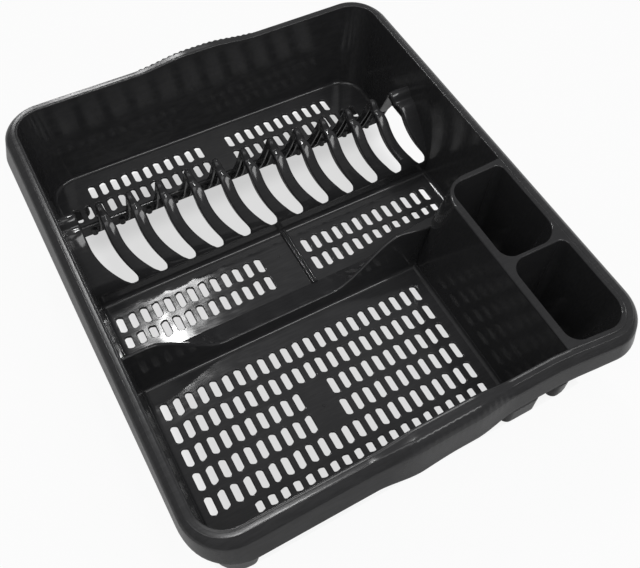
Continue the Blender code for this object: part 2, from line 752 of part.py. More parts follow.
def divider_section(x):
    """Cross-section of the folded divider at x, as y and z, round its outside and back inside."""
    rise = ridge_rise(x)
    top = FLOOR_HEIGHT + rise
    ridge_y = DIVIDER_FOOT_Y + rise * DIVIDER_LEAN_SHARE
    foot_back = MIDDLE_FRONT_Y
    return [
        (DIVIDER_FOOT_Y, WALL_FOOT),
        (ridge_y, top - DIVIDER_RIDGE / 2),
        (ridge_y + DIVIDER_RIDGE / 2, top),
        (ridge_y + DIVIDER_RIDGE, top),
        (foot_back, MIDDLE_HEIGHT),
        (foot_back, MIDDLE_HEIGHT - WALL),
        (ridge_y + DIVIDER_RIDGE, top - WALL),
        (ridge_y + WALL, top - WALL),
        (DIVIDER_FOOT_Y + WALL, WALL_FOOT),
    ]


def make_divider():
    """Folded wavy divider, its left end on the basin wall and its right end on the pocket block."""
    low_start, low_end = DIVIDER_LOW_START, DIVIDER_LOW_END
    places = [-BASIN_HALF_WIDTH]
    for step in range(DIVIDER_RAMP_STEPS, -1, -1):
        places.append(low_start - DIVIDER_LEFT_RAMP * step / DIVIDER_RAMP_STEPS)
    for step in range(DIVIDER_RAMP_STEPS + 1):
        places.append(low_end + DIVIDER_RIGHT_RAMP * step / DIVIDER_RAMP_STEPS)
    places.append(BLOCK_LEFT_X + BLOCK_CORNER)
    rings = []
    for index, x in enumerate(places):
        ring = []
        for y, z in divider_section(x):
            reach = SEAM - basin_half_width(z) if index == 0 else x
            ring.append((reach, y, z))
        rings.append(ring)
    divider = loft("divider", rings, smooth=True)
    tool = block_loft("tool_block", -SEAM, OVERRUN, WALL_FOOT - OVERRUN, RIM_HEIGHT)
    cut(divider, cutter(tool))


def rack_gap_count():
    """How many plate gaps fit between the basin walls."""
    room = 2 * (BASIN_HALF_WIDTH - RACK_LUG) - RACK_GAP
    return int(room / RACK_PITCH) + 1


def gap_edges(index, y):
    """Left and right edge of a plate gap at y: it bows to the right and narrows to the front."""
    remaining = max(1.0 - (y - RACK_FRONT_Y) / RACK_SWEEP_RUN, 0.0) ** 2
    centre = RACK_CENTRE_X + RACK_PITCH * (index - (rack_gap_count() - 1) / 2) + RACK_SWEEP * remaining
    half = lerp(RACK_GAP, RACK_GAP_FRONT, remaining) / 2
    return centre - half, centre + half


def make_rack_base():
    """Upright front of the plate rack with the round front end of each plate gap cut in it."""
    riser_top = MIDDLE_HEIGHT + RACK_RISER
    arm_y = RACK_ARM_Y
    crown_run, crown_rise = RISER_CROWN_SHARES
    section = [
        (RACK_FRONT_Y, MIDDLE_HEIGHT - FLOOR),
        (RACK_FRONT_Y, riser_top),
        (lerp(RACK_FRONT_Y, arm_y, crown_run), lerp(riser_top, ARM_FOOT_HEIGHT, crown_rise)),
        (arm_y, ARM_FOOT_HEIGHT),
        (arm_y, ARM_FOOT_HEIGHT - 2 * ARM_SKIN),
        (RACK_FRONT_Y + WALL, riser_top - WALL),
        (RACK_FRONT_Y + WALL, MIDDLE_HEIGHT - FLOOR),
    ]
    rings = []
    for sign in (-1, 1):
        rings.append([(sign * (basin_half_width(z) - SEAM), y, z) for y, z in section])
    base = loft("rack_base", rings)
    bm = bmesh.new()
    for index in range(rack_gap_count()):
        left, right = gap_edges(index, arm_y)
        tip_left, tip_right = gap_edges(index, lerp(RACK_FRONT_Y, arm_y, crown_run))
        radius = RACK_GAP_TIP_RADIUS
        centre_z = MIDDLE_HEIGHT + RACK_GAP_TIP_RISE + radius
        centre_x = (tip_left + tip_right) / 2
        notch = arc(centre_x, centre_z, radius, 2 * QUARTER, 2 * QUARTER, CORNER_STEPS)
        top = ARM_FOOT_HEIGHT + OVERRUN
        notch = [(right, top), (left, top)] + notch
        ends = (RACK_FRONT_Y - OVERRUN, arm_y + OVERRUN)
        add_loft(bm, [[(x, y, z) for x, z in notch] for y in ends])
    cut(base, cutter(finish("tool_gap_ends", bm)))


def arm_stations():
    """The outer line of a rack arm: up its slope, over the knuckle and the tooth, down its leg."""
    foot_y = RACK_ARM_Y + SEAM
    knuckle_z = MIDDLE_HEIGHT + KNUCKLE_RISE
    tooth_z = MIDDLE_HEIGHT + TOOTH_RISE
    radius = TOOTH_RADIUS
    stations = []
    for step in range(ARM_SLOPE_STEPS):
        share = step / ARM_SLOPE_STEPS
        rise = share * (1.0 + ARM_CROWN_SHARE * (1.0 - share ** 3))
        y = lerp(foot_y, KNUCKLE_Y, share)
        z = lerp(ARM_FOOT_HEIGHT, knuckle_z, rise)
        depth = lerp(2 * ARM_SKIN, ARM_DEPTH, min(2 * share, 1.0))
        stations.append(Station(y, z, SLOPE_TILT if step else -QUARTER, depth))
    crest = [(KNUCKLE_Y, knuckle_z)]
    crest.append((lerp(KNUCKLE_Y, TOOTH_Y, CREST_SHARES[0]), lerp(knuckle_z, tooth_z, CREST_SHARES[1])))
    crest.append((TOOTH_Y - radius, tooth_z - radius / 2))
    crest.append((TOOTH_Y, tooth_z))
    crest.append((TOOTH_Y + radius, tooth_z - radius / 2))
    for along, down in (LEG_TOP_SHARES, LEG_FOOT_SHARES):
        crest.append((lerp(TOOTH_Y, LIP_Y, along), lerp(tooth_z, BACK_HEIGHT, down)))
    crest.append((LIP_Y - SEAM, BACK_HEIGHT))
    depths = [ARM_DEPTH] * (len(crest) - 1) + [LIP_HEIGHT]
    for (y, z), tilt, depth in zip(crest, CREST_TILTS, depths):
        stations.append(Station(y, z, tilt, depth))
    return stations


def arm_ring(arm, station):
    """Channel section of an arm at one station: a skin on top and a flange down each side."""
    fall_y, fall_z = math.cos(station.tilt), math.sin(station.tilt)
    ring = []
    skin = ARM_SKIN
    depth = station.depth
    plan = (
        (0.0, 0.0, 0), (0.0, 0.0, 1),
        (depth, 0.0, 1), (depth, ARM_FLANGE, 1), (skin, ARM_FLANGE, 1),
        (skin, ARM_FLANGE, 0), (depth, ARM_FLANGE, 0), (depth, 0.0, 0),
    )
    for down, inset, side in plan:
        y = station.y + fall_y * down
        z = station.z + fall_z * down
        wall = basin_half_width(z) - SEAM
        if side:
            x = wall if arm == rack_gap_count() else gap_edges(arm, station.y)[0]
            x -= inset
        else:
            x = -wall if arm == 0 else gap_edges(arm - 1, station.y)[1]
            x += inset
        ring.append((x, y, z))
    return ring


def make_rack_arms():
    """Rack arms: channels from the rack's front over their teeth to the back trough's lip."""
    stations = arm_stations()
    for arm in range(rack_gap_count() + 1):
        rings = [arm_ring(arm, station) for station in stations]
        loft("rack_arm_%02d" % (arm + 1), rings, smooth=True)


def make_basin_tool():
    """Cutter with the form of the basin's inside, a seam smaller all round."""
    rings = []
    for height in (WALL_FOOT - OVERRUN, RIM_HEIGHT + OVERRUN):
        rings.append([(x, y, height) for x, y in basin_outline(height, SEAM)])
    return cutter(loft("tool_basin", rings))


def main():
    """Clear the scene and build the dish drainer."""
    for leftover in list(bpy.data.objects):
        bpy.data.objects.remove(leftover, do_unlink=True)
    basin_tool = make_basin_tool()
    make_basin()
    make_feet()
    make_front_floor()
    make_divider()
    make_middle_floor()
    make_back_floor()
    make_rack_base()
    make_rack_arms()
    make_pockets(basin_tool)


main()
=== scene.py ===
"""Looks of a moulded dish drainer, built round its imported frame.

The tray is one black moulding, so its pieces meet without showing a seam: the basin with its rim and
two grips, the slotted floors, the folded divider, the plate rack, the cutlery block and the feet.
Lengths are metres, +Z is up, -Y is the front.
"""

import logging
import math
from dataclasses import dataclass, field
from enum import Enum
from typing import Callable, Iterable, Sequence

import bmesh
import bpy
from mathutils import Matrix, Vector


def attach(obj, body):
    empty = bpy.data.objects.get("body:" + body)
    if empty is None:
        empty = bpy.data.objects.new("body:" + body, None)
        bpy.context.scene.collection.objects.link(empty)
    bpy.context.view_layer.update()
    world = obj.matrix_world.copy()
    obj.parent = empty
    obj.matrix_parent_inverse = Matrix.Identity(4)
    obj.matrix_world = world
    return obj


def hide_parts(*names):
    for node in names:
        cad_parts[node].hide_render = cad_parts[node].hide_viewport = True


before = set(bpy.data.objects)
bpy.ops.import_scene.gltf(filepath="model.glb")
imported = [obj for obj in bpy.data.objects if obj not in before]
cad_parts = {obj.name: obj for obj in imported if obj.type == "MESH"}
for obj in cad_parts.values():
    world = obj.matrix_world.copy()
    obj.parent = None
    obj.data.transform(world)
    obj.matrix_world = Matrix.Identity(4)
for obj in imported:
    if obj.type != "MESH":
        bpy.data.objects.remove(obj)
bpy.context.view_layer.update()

QUARTER = math.radians(90)
LOG = logging.getLogger("drainer")

Point = tuple[float, float]
Place = tuple[float, float, float]
Box = tuple[float, float, float, float]
Mesh = bmesh.types.BMesh
Material = bpy.types.Material
Node = bpy.types.Node
Piece = bpy.types.Object
Socket = bpy.types.NodeSocket
Tree = bpy.types.NodeTree

# How far a fillet runs into its neighbours, how far it stands over the floor that it meets, and how
# far a piece that spans the basin runs into the walls.
SUNK = 0.0006
SKIM = 0.00003
OVERRUN = 0.0008


class Side(Enum):
    """The tray's four sides, counted anticlockwise from the front."""

    FRONT = 0
    RIGHT = 1
    BACK = 2
    LEFT = 3


class Slant(Enum):
    """Which way a drain slot's ends slope."""

    RISING = 1.0
    FALLING = -1.0


def mix(start: float, end: float, share: float) -> float:
    """Value between start and end."""
    return start + (end - start) * share


def ease(share: float) -> float:
    """Smooth step from 0 to 1."""
    share = min(max(share, 0.0), 1.0)
    return share * share * (3.0 - 2.0 * share)


def arc(centre: Point, radius: float, start: float, sweep: float, steps: int) -> list[Point]:
    """Points along an arc.

    Args:
        centre: middle of the arc.
        radius: its radius.
        start: angle of its first point.
        sweep: angle that it turns through.
        steps: number of chords.

    Returns:
        The points, both ends included.
    """
    angles = [start + sweep * step / steps for step in range(steps + 1)]
    return [(centre[0] + radius * math.cos(a), centre[1] + radius * math.sin(a)) for a in angles]


def rounded_box(box: Box, radii: Sequence[float], steps: int) -> list[Point]:
    """Rectangle with rounded corners, anticlockwise from its front left corner.

    Args:
        box: left, right, front and back.
        radii: one radius for each corner.
        steps: chords in each corner.

    Returns:
        The outline's points.
    """
    left, right, front, back = box
    centres = (
        (left + radii[0], front + radii[0]),
        (right - radii[1], front + radii[1]),
        (right - radii[2], back - radii[2]),
        (left + radii[3], back - radii[3]),
    )
    points: list[Point] = []
    for corner, (centre, radius) in enumerate(zip(centres, radii)):
        points += arc(centre, radius, math.pi + corner * QUARTER, QUARTER, steps)
    return points


def clip(outline: Sequence[Point], axis: int, limit: float, above: bool) -> list[Point]:
    """Cut a convex outline along a line of constant x or y.

    Args:
        outline: the outline's points.
        axis: 0 for a line of constant x, 1 for one of constant y.
        limit: where the line lies.
        above: whether the part beyond the line stays.

    Returns:
        The part that stays.
    """
    sign = 1.0 if above else -1.0
    kept: list[Point] = []
    for index, point in enumerate(outline):
        previous = outline[index - 1]
        depth = sign * (point[axis] - limit)
        before = sign * (previous[axis] - limit)
        if depth * before < 0.0:
            share = before / (before - depth)
            kept.append((mix(previous[0], point[0], share), mix(previous[1], point[1], share)))
        if depth >= 0.0:
            kept.append(point)
    return kept


def smooth_path(knots: Sequence[Sequence[float]], steps: int) -> list[list[float]]:
    """A curve through knots of any number of values.

    Args:
        knots: rows of values that the curve passes through.
        steps: points from one knot to the next.

    Returns:
        Rows of values along the curve.
    """
    rows: list[list[float]] = []
    for index in range(len(knots) - 1):
        a = knots[max(index - 1, 0)]
        b, c = knots[index], knots[index + 1]
        d = knots[min(index + 2, len(knots) - 1)]
        for step in range(steps):
            t = step / steps
            row = []
            for p, q, r, s in zip(a, b, c, d):
                bend = 2 * p - 5 * q + 4 * r - s
                row.append(0.5 * (2 * q + (r - p) * t + bend * t * t + (3 * q - p - 3 * r + s) * t ** 3))
            rows.append(row)
    rows.append(list(knots[-1]))
    return rows


# Sizes


@dataclass(frozen=True)
class BasinSizes:
    """The basin's inside faces, which every other piece is set out from."""

    half_width: float = 0.1827
    half_length: float = 0.2122
    corner: float = 0.0290
    draft_side: float = 0.0064
    draft_end: float = 0.0030
    draft_corner: float = -0.0040
    wall: float = 0.0024
    sheet: float = 0.0026
    floor: float = 0.0240
    middle_floor: float = 0.0276
    back_floor: float = 0.0319
    rim: float = 0.1332
    divider_y: float = -0.0406
    middle_y: float = -0.0145
    rack_y: float = 0.0546
    lip_y: float = 0.1460
    block_x: float = 0.1088
    bevel_x: float = 0.1600
    swell_x: float = 0.0002
    swell_y: float = -0.0060
    swell_from_x: float = 0.100
    swell_from_y: float = 0.080
    swell_run_x: float = 0.080
    swell_run_y: float = 0.125
    swell_limit: float = 1.1

    def share(self, height: float) -> float:
        """Share of the way up from the cup bay's floor to the rim."""
        return (height - self.floor) / (self.rim - self.floor)

    def width_at(self, height: float) -> float:
        """Half the width between the inside faces at a height."""
        return self.half_width + self.draft_side * self.share(height)

    def length_at(self, height: float) -> float:
        """Half the length between the inside faces at a height."""
        return self.half_length + self.draft_end * self.share(height)

    def corner_at(self, height: float) -> float:
        """Corner radius of the inside faces at a height."""
        return self.corner + self.draft_corner * self.share(height)

    def outline(self, height: float, grow: float, steps: int = 12) -> list[Point]:
        """The inside outline at a height.

        Args:
            height: height over the table.
            grow: how far the outline is moved out.
            steps: chords in each corner.

        Returns:
            The outline's points, anticlockwise from the front left corner.
        """
        half_width = self.width_at(height) + grow
        half_length = self.length_at(height) + grow
        radii = [self.corner_at(height) + grow] * 4
        return rounded_box((-half_width, half_width, -half_length, half_length), radii, steps)

    def swell(self, x: float, y: float, height: float) -> Point:
        """Move a point out where the basin swells at its front right corner.

        Args:
            x, y: the point.
            height: its height over the table.

        Returns:
            The moved point.
        """
        share = ease((x - self.swell_from_x) / self.swell_run_x)
        share *= ease((-y - self.swell_from_y) / self.swell_run_y)
        share *= min(max(self.share(height), 0.0), self.swell_limit)
        return x + self.swell_x * share, y + self.swell_y * share


@dataclass(frozen=True)
class SlotSizes:
    """One drain slot and its grid."""

    width: float = 0.0065
    length: float = 0.0172
    slant: float = 0.5
    corner: float = 0.0024
    edge: float = 0.0008
    margin: float = 0.0013
    pitch: float = 0.0120
    cut_corner: float = 0.0022

    def corners(self, centre: Point, slant: Slant) -> list[Point]:
        """The slot's corners, its two sharp ones cut off.

        Args:
            centre: middle of the slot.
            slant: which way its ends slope.

        Returns:
            The corners, anticlockwise.
        """
        raw = []
        for side, end in ((-1, -1), (1, -1), (1, 1), (-1, 1)):
            x = side * self.width / 2
            raw.append(Vector((x, end * self.length / 2 + slant.value * self.slant * x)))
        points: list[Point] = []
        for index, corner in enumerate(raw):
            before, after = raw[index - 1], raw[(index + 1) % 4]
            ends = [corner]
            if (before - corner).angle(after - corner) < QUARTER:
                ends = [corner + (end - corner).normalized() * self.cut_corner for end in (before, after)]
            points += [(centre[0] + end.x, centre[1] + end.y) for end in ends]
        return points


@dataclass(frozen=True)
class SlotPlace:
    """Centre, slant and share of the full length of one drain slot."""

    x: float
    y: float
    slant: Slant
    stretch: float = 1.0

    def shortened(self, stretch: float) -> "SlotPlace":
        """The same slot with its front end drawn back to a share of its length."""
        return SlotPlace(self.x, self.y + SLOT.length * (1.0 - stretch) / 2, self.slant, stretch)


BASIN = BasinSizes()
SLOT = SlotSizes()


# Meshes


def new_piece(name: str, bm: Mesh, material: Material | None) -> Piece:
    """Turn a bmesh into an object at the origin.

    Args:
        name: the piece's name.
        bm: its mesh, which is freed.
        material: its finish, or None for a cutter.

    Returns:
        The new object.
    """
    mesh = bpy.data.meshes.new(name)
    bm.to_mesh(mesh)
    bm.free()
    if material:
        mesh.materials.append(material)
    piece = bpy.data.objects.new(name, mesh)
    bpy.context.scene.collection.objects.link(piece)
    return piece


def skin(bm: Mesh, rings: Sequence[Sequence[Place]], around: bool, along: bool) -> None:
    """Skin a row of rings with quads, facing out where rings run anticlockwise and rise.

    Args:
        bm: mesh that takes the faces.
        rings: rings of equal length.
        around: whether each ring is a closed loop.
        along: whether the last ring joins the first.
    """
    rows = [[bm.verts.new(point) for point in ring] for ring in rings]
    pairs = list(zip(rows, rows[1:]))
    if along:
        pairs.append((rows[-1], rows[0]))
    first = 0 if around else 1
    for row, following in pairs:
        for index in range(first, len(row)):
            bm.faces.new((row[index - 1], row[index], following[index], following[index - 1]))
    if around and not along:
        bm.faces.new(list(reversed(rows[0])))
        bm.faces.new(rows[-1])


def solid(rings: Sequence[Sequence[Place]], along: bool = False) -> Mesh:
    """A closed solid skinned from rings, its faces turned outwards.

    Args:
        rings: closed loops of equal length.
        along: whether the last ring joins the first.

    Returns:
        The solid.
    """
    bm = bmesh.new()
    skin(bm, rings, True, along)
    bmesh.ops.recalc_face_normals(bm, faces=bm.faces)
    return bm


def level(outline: Iterable[Point], height: float) -> list[Place]:
    """An outline laid at a height."""
    return [(x, y, height) for x, y in outline]


def merge_in(bm: Mesh, other: Mesh) -> None:
    """Add a copy of another mesh.

    Args:
        bm: mesh that takes the copy.
        other: the other mesh, which is freed.
    """
    mesh = bpy.data.meshes.new("joint")
    other.to_mesh(mesh)
    other.free()
    bm.from_mesh(mesh)
    bpy.data.meshes.remove(mesh)


def bake(piece: Piece) -> bpy.types.Mesh:
    """Give a piece the mesh that its modifiers make of it, and take the modifiers off.

    Args:
        piece: the piece.

    Returns:
        Its new mesh.
    """
    bpy.context.view_layer.update()
    evaluated = piece.evaluated_get(bpy.context.evaluated_depsgraph_get())
    mesh = bpy.data.meshes.new_from_object(evaluated)
    piece.modifiers.clear()
    piece.data = mesh
    return mesh


def settle(piece: Piece, sharp: float = 38.0) -> Piece:
    """Bake a piece's modifiers and shade its round faces smooth and its flat ones flat.

    Args:
        piece: the piece.
        sharp: angle in degrees from which an edge stays sharp.

    Returns:
        The same piece.
    """
    mesh = bake(piece)
    mesh.name = piece.name
    mesh.shade_smooth()
    mesh.set_sharp_from_angle(angle=math.radians(sharp))
    weighted = piece.modifiers.new("even_light", "WEIGHTED_NORMAL")
    weighted.keep_sharp = True
    bake(piece)
    return piece


def boolean(piece: Piece, tool: Piece, operation: str = "DIFFERENCE") -> None:
    """Cut a piece with a tool, bake it and delete the tool.

    Args:
        piece: the piece that is cut.
        tool: the cutter.
        operation: the Boolean's name.
    """
    modifier = piece.modifiers.new("cut", "BOOLEAN")
    modifier.operation = operation
    modifier.solver = "EXACT"
    modifier.object = tool
    settle(piece)
    bpy.data.objects.remove(tool, do_unlink=True)


def thicken(piece: Piece, thickness: float) -> None:
    """Give an open sheet its thickness, on the inner side."""
    wall = piece.modifiers.new("wall", "SOLIDIFY")
    wall.thickness, wall.offset = thickness, -1.0


def foot_round(face: float, floor: float, radius: float, count: int) -> list[Point]:
    """The hollow round from a floor up an upright face, a chord of 18 degrees at a time.

    Args:
        face: where the face stands.
        floor: height of the floor.
        radius: the round's radius.
        count: number of points.

    Returns:
        Points of y and z, from the floor up.
    """
    angles = [math.radians(18 * step) for step in range(count)]
    return [(face - radius + radius * math.sin(a), floor + SKIM + radius - radius * math.cos(a))
            for a in angles]


def cove(path: Sequence[Point], height: float, radius: float) -> Mesh:
    """The hollow fillet along the foot of a wall.

    Args:
        path: the wall's foot, with the room on its left.
        height: height of the floor.
        radius: the fillet's radius.

    Returns:
        A closed strip, sunk a little into wall and floor.
    """
    section = [(-SUNK, -SUNK), (radius, -SUNK)]
    section += [(radius - radius * math.cos(a), radius - radius * math.sin(a)) for a in (
        math.radians(90 - 15 * step) for step in range(7))]
    section.append((-SUNK, radius))
    rings = []
    for index, point in enumerate(path):
        before, after = path[max(index - 1, 0)], path[min(index + 1, len(path) - 1)]
        along = (Vector(point) - Vector(before)), (Vector(after) - Vector(point))
        normals = [Vector((-a.y, a.x)).normalized() for a in along if a.length > 1e-7]
        inward = sum(normals, Vector((0.0, 0.0))).normalized()
        stretch = 1.0 / max(inward.dot(normals[0]), 0.5)
        rings.append([(point[0] + inward.x * n * stretch, point[1] + inward.y * n * stretch, height + h)
                      for n, h in section])
    return solid(rings)


# Node sheets


class NodeSheet:
    """Adds nodes to a tree and wires them."""

    def __init__(self, tree: Tree) -> None:
        """Keep the tree."""
        self.tree = tree

    def add(self, kind: str, settings: dict | None = None, inputs: dict | None = None) -> Node:
        """Add one node.

        Args:
            kind: the node's type.
            settings: its properties by name.
            inputs: its input values or the sockets that feed them, by name or number.

        Returns:
            The new node.
        """
        node = self.tree.nodes.new(kind)
        for key, value in (settings or {}).items():
            setattr(node, key, value)
        for key, value in (inputs or {}).items():
            if isinstance(value, Socket):
                self.tree.links.new(value, node.inputs[key])
            else:
                node.inputs[key].default_value = value
        return node

    def maths(self, operation: str, first: Socket | float, second: Socket | float = 0.0) -> Socket:
        """Result of a Math node.

        Args:
            operation: the node's operation.
            first: its first value.
            second: its second value.

        Returns:
            The node's output.
        """
        node = self.add("ShaderNodeMath", {"operation": operation}, {0: first, 1: second})
        return node.outputs[0]

    def vector(self, **axes: Socket | float) -> Socket:
        """A vector put together from its components."""
        return self.add("ShaderNodeCombineXYZ", None, axes).outputs["Vector"]

    def axes(self, kind: str, output: str) -> bpy.types.NodeOutputs:
        """The components of the vector that a new node of some kind puts out."""
        return self.add("ShaderNodeSeparateXYZ", None, {"Vector": self.add(kind).outputs[output]}).outputs

    def noise(self, spot: Socket, scale: Socket | float, detail: float, roughness: float) -> Socket:
        """Values of a noise texture.

        Args:
            spot: where the texture is read.
            scale: its scale.
            detail: its finer layers.
            roughness: their strength.

        Returns:
            The node's output.
        """
        node = self.add("ShaderNodeTexNoise", None, {
            "Vector": spot, "Scale": scale, "Detail": detail, "Roughness": roughness})
        return node.outputs["Fac"]

    def spread(self, value: Socket, start: Point, end: Point, kind: str = "SMOOTHSTEP") -> Socket:
        """A value carried over from one range to another.

        Args:
            value: the value.
            start: the range that it comes from.
            end: the range that it goes to.
            kind: how it runs between the two ends.

        Returns:
            The node's output.
        """
        node = self.add("ShaderNodeMapRange", {"interpolation_type": kind}, {
            "Value": value, "From Min": start[0], "From Max": start[1], "To Min": end[0], "To Max": end[1]})
        return node.outputs["Result"]


def new_tree(name: str, kind: str, inputs: dict[str, tuple[str, object]],
             outputs: dict[str, str]) -> tuple[Tree, NodeSheet, Node, Node]:
    """An empty node group with named sockets.

    Args:
        name: the group's name.
        kind: the tree's type.
        inputs: each input's socket type and default by name.
        outputs: each output's socket type by name.

    Returns:
        The tree, its sheet, its input node and its output node.
    """
    tree = bpy.data.node_groups.new(name, kind)
    for label, (socket, value) in inputs.items():
        made = tree.interface.new_socket(label, in_out="INPUT", socket_type=socket)
        if value is not None:
            made.default_value = value
    for label, socket in outputs.items():
        tree.interface.new_socket(label, in_out="OUTPUT", socket_type=socket)
    sheet = NodeSheet(tree)
    return tree, sheet, sheet.add("NodeGroupInput"), sheet.add("NodeGroupOutput")


def apply_tree(piece: Piece, tree: Tree, values: dict[str, object]) -> None:
    """Put a Geometry Nodes tree on a piece with its inputs set by identifier.

    Args:
        piece: the piece that the tree changes.
        tree: the tree.
        values: input values by name.
    """
    modifier = piece.modifiers.new(tree.name, "NODES")
    modifier.node_group = tree
    for item in tree.interface.items_tree:
        if item.item_type == "SOCKET" and item.in_out == "INPUT" and item.name in values:
            modifier[item.identifier] = values[item.name]


FLOAT = "NodeSocketFloat"
GEOMETRY = "NodeSocketGeometry"


def dress(sheet: NodeSheet, given: Node, geometry: Socket, target: Socket) -> None:
    """End a tree with real geometry in the finish that it was given.

    Args:
        sheet: the tree's sheet.
        given: the tree's input node.
        geometry: what the tree has made.
        target: the output node's socket.
    """
    real = sheet.add("GeometryNodeRealizeInstances", None, {"Geometry": geometry})
    dressed = sheet.add("GeometryNodeSetMaterial", None, {
        "Geometry": real.outputs["Geometry"], "Material": given.outputs["Finish"]})
    sheet.tree.links.new(dressed.outputs["Geometry"], target)


def slot_tree() -> Tree:
    """Geometry Nodes that pierce a panel with drain slots, one at each of another object's points.

    Returns:
        The tree, with the slot's sizes as named inputs.
    """
    tree, sheet, given, result = new_tree("drain_slots", "GeometryNodeTree", {
        "Panel": (GEOMETRY, None),
        "Places": ("NodeSocketObject", None),
        "Slot width": (FLOAT, SLOT.width),
        "Slot length": (FLOAT, SLOT.length),
        "Slant": (FLOAT, SLOT.slant),
        "Corner radius": (FLOAT, SLOT.corner),
        "Edge round": (FLOAT, SLOT.edge),
        "Depth": (FLOAT, 0.005),
        "Finish": ("NodeSocketMaterial", None),
    }, {"Panel": GEOMETRY})
    places = sheet.add("GeometryNodeObjectInfo", {"transform_space": "ORIGINAL"},
                       {"Object": given.outputs["Places"]}).outputs["Geometry"]
    slant, stretch = (sheet.add("GeometryNodeInputNamedAttribute", {"data_type": "FLOAT"}, {
        "Name": name}).outputs["Attribute"] for name in ("slant", "stretch"))
    scale = sheet.vector(X=1.0, Y=stretch, Z=1.0)
    joined = sheet.add("GeometryNodeJoinGeometry")
    for way in Slant:
        chosen = sheet.add("FunctionNodeCompare", {"data_type": "FLOAT", "operation": "GREATER_THAN"}, {
            0: sheet.maths("MULTIPLY", slant, way.value), 1: 0.5})
        instances = sheet.add("GeometryNodeInstanceOnPoints", None, {
            "Points": places, "Selection": chosen.outputs["Result"],
            "Instance": slot_plug(sheet, given, way), "Scale": scale})
        sheet.tree.links.new(instances.outputs["Instances"], joined.inputs["Geometry"])
    plugs = sheet.add("GeometryNodeRealizeInstances", None, {"Geometry": joined.outputs["Geometry"]})
    pierced = sheet.add("GeometryNodeMeshBoolean", {"operation": "DIFFERENCE", "solver": "EXACT"}, {
        "Mesh 1": given.outputs["Panel"], "Mesh 2": plugs.outputs["Geometry"]})
    dress(sheet, given, pierced.outputs["Mesh"], result.inputs["Panel"])
    return tree


def slot_plug(sheet: NodeSheet, given: Node, way: Slant) -> Socket:
    """The solid that cuts one slot, flared where it leaves the panel's upper face.

    Args:
        sheet: the sheet that takes the nodes.
        given: the tree's input node.
        way: which way the slot's ends slope.

    Returns:
        The plug's geometry, its upper face level with the panel's.
    """
    width, length = given.outputs["Slot width"], given.outputs["Slot length"]
    edge, depth = given.outputs["Edge round"], given.outputs["Depth"]
    flat = sheet.add("GeometryNodeCurvePrimitiveQuadrilateral", {"mode": "RECTANGLE"}, {
        "Width": width, "Height": length}).outputs["Curve"]
    across = sheet.axes("GeometryNodeInputPosition", "Position")["X"]
    slope = sheet.maths("MULTIPLY", sheet.maths("MULTIPLY", across, way.value), given.outputs["Slant"])
    sheared = sheet.add("GeometryNodeSetPosition", None, {
        "Geometry": flat, "Offset": sheet.vector(Y=slope)})
    filleted = sheet.add("GeometryNodeFilletCurve", {"mode": "POLY"}, {
        "Curve": sheared.outputs["Geometry"], "Count": 5, "Radius": given.outputs["Corner radius"]})
    filled = sheet.add("GeometryNodeFillCurve", {"mode": "NGONS"}, {"Curve": filleted.outputs["Curve"]})
    down = sheet.vector(Z=sheet.maths("MULTIPLY", depth, -1.0))
    foot = sheet.add("GeometryNodeTransform", None, {
        "Geometry": filled.outputs["Mesh"], "Translation": down}).outputs["Geometry"]
    mesh, top, below = foot, None, depth
    for drop in (1.0, 0.45, 0.15, -0.02, -0.6):
        following = sheet.maths("MULTIPLY", edge, drop)
        inputs = {"Mesh": mesh, "Offset": (0.0, 0.0, 1.0), "Individual": False,
                  "Offset Scale": sheet.maths("SUBTRACT", below, following)}
        if top:
            inputs["Selection"] = top
        raised = sheet.add("GeometryNodeExtrudeMesh", {"mode": "FACES"}, inputs)
        mesh, top, below = raised.outputs["Mesh"], raised.outputs["Top"], following
    spot = sheet.axes("GeometryNodeInputPosition", "Position")
    sunk = sheet.maths("ABSOLUTE", sheet.maths("MINIMUM", spot["Z"], 0.0))
    rise = sheet.maths("SUBTRACT", 1.0, sheet.maths("DIVIDE", sunk, edge))
    swell = sheet.maths("MULTIPLY", sheet.maths("POWER", sheet.maths("MAXIMUM", rise, 0.0), 3.0), edge)
    offsets = {}
    for axis, size in (("X", width), ("Y", length)):
        ratio = sheet.maths("DIVIDE", spot[axis], sheet.maths("MULTIPLY", size, 0.5))
        offsets[axis] = sheet.maths("MULTIPLY", ratio, swell)
    flared = sheet.add("GeometryNodeSetPosition", None, {
        "Geometry": mesh, "Offset": sheet.vector(**offsets)})
    flipped = sheet.add("GeometryNodeFlipFaces", None, {"Mesh": foot})
    joined = sheet.add("GeometryNodeJoinGeometry")
    for part in (flared.outputs["Geometry"], flipped.outputs["Mesh"]):
        sheet.tree.links.new(part, joined.inputs["Geometry"])
    merged = sheet.add("GeometryNodeMergeByDistance", None, {
        "Geometry": joined.outputs["Geometry"], "Distance": 1e-6})
    return merged.outputs["Geometry"]


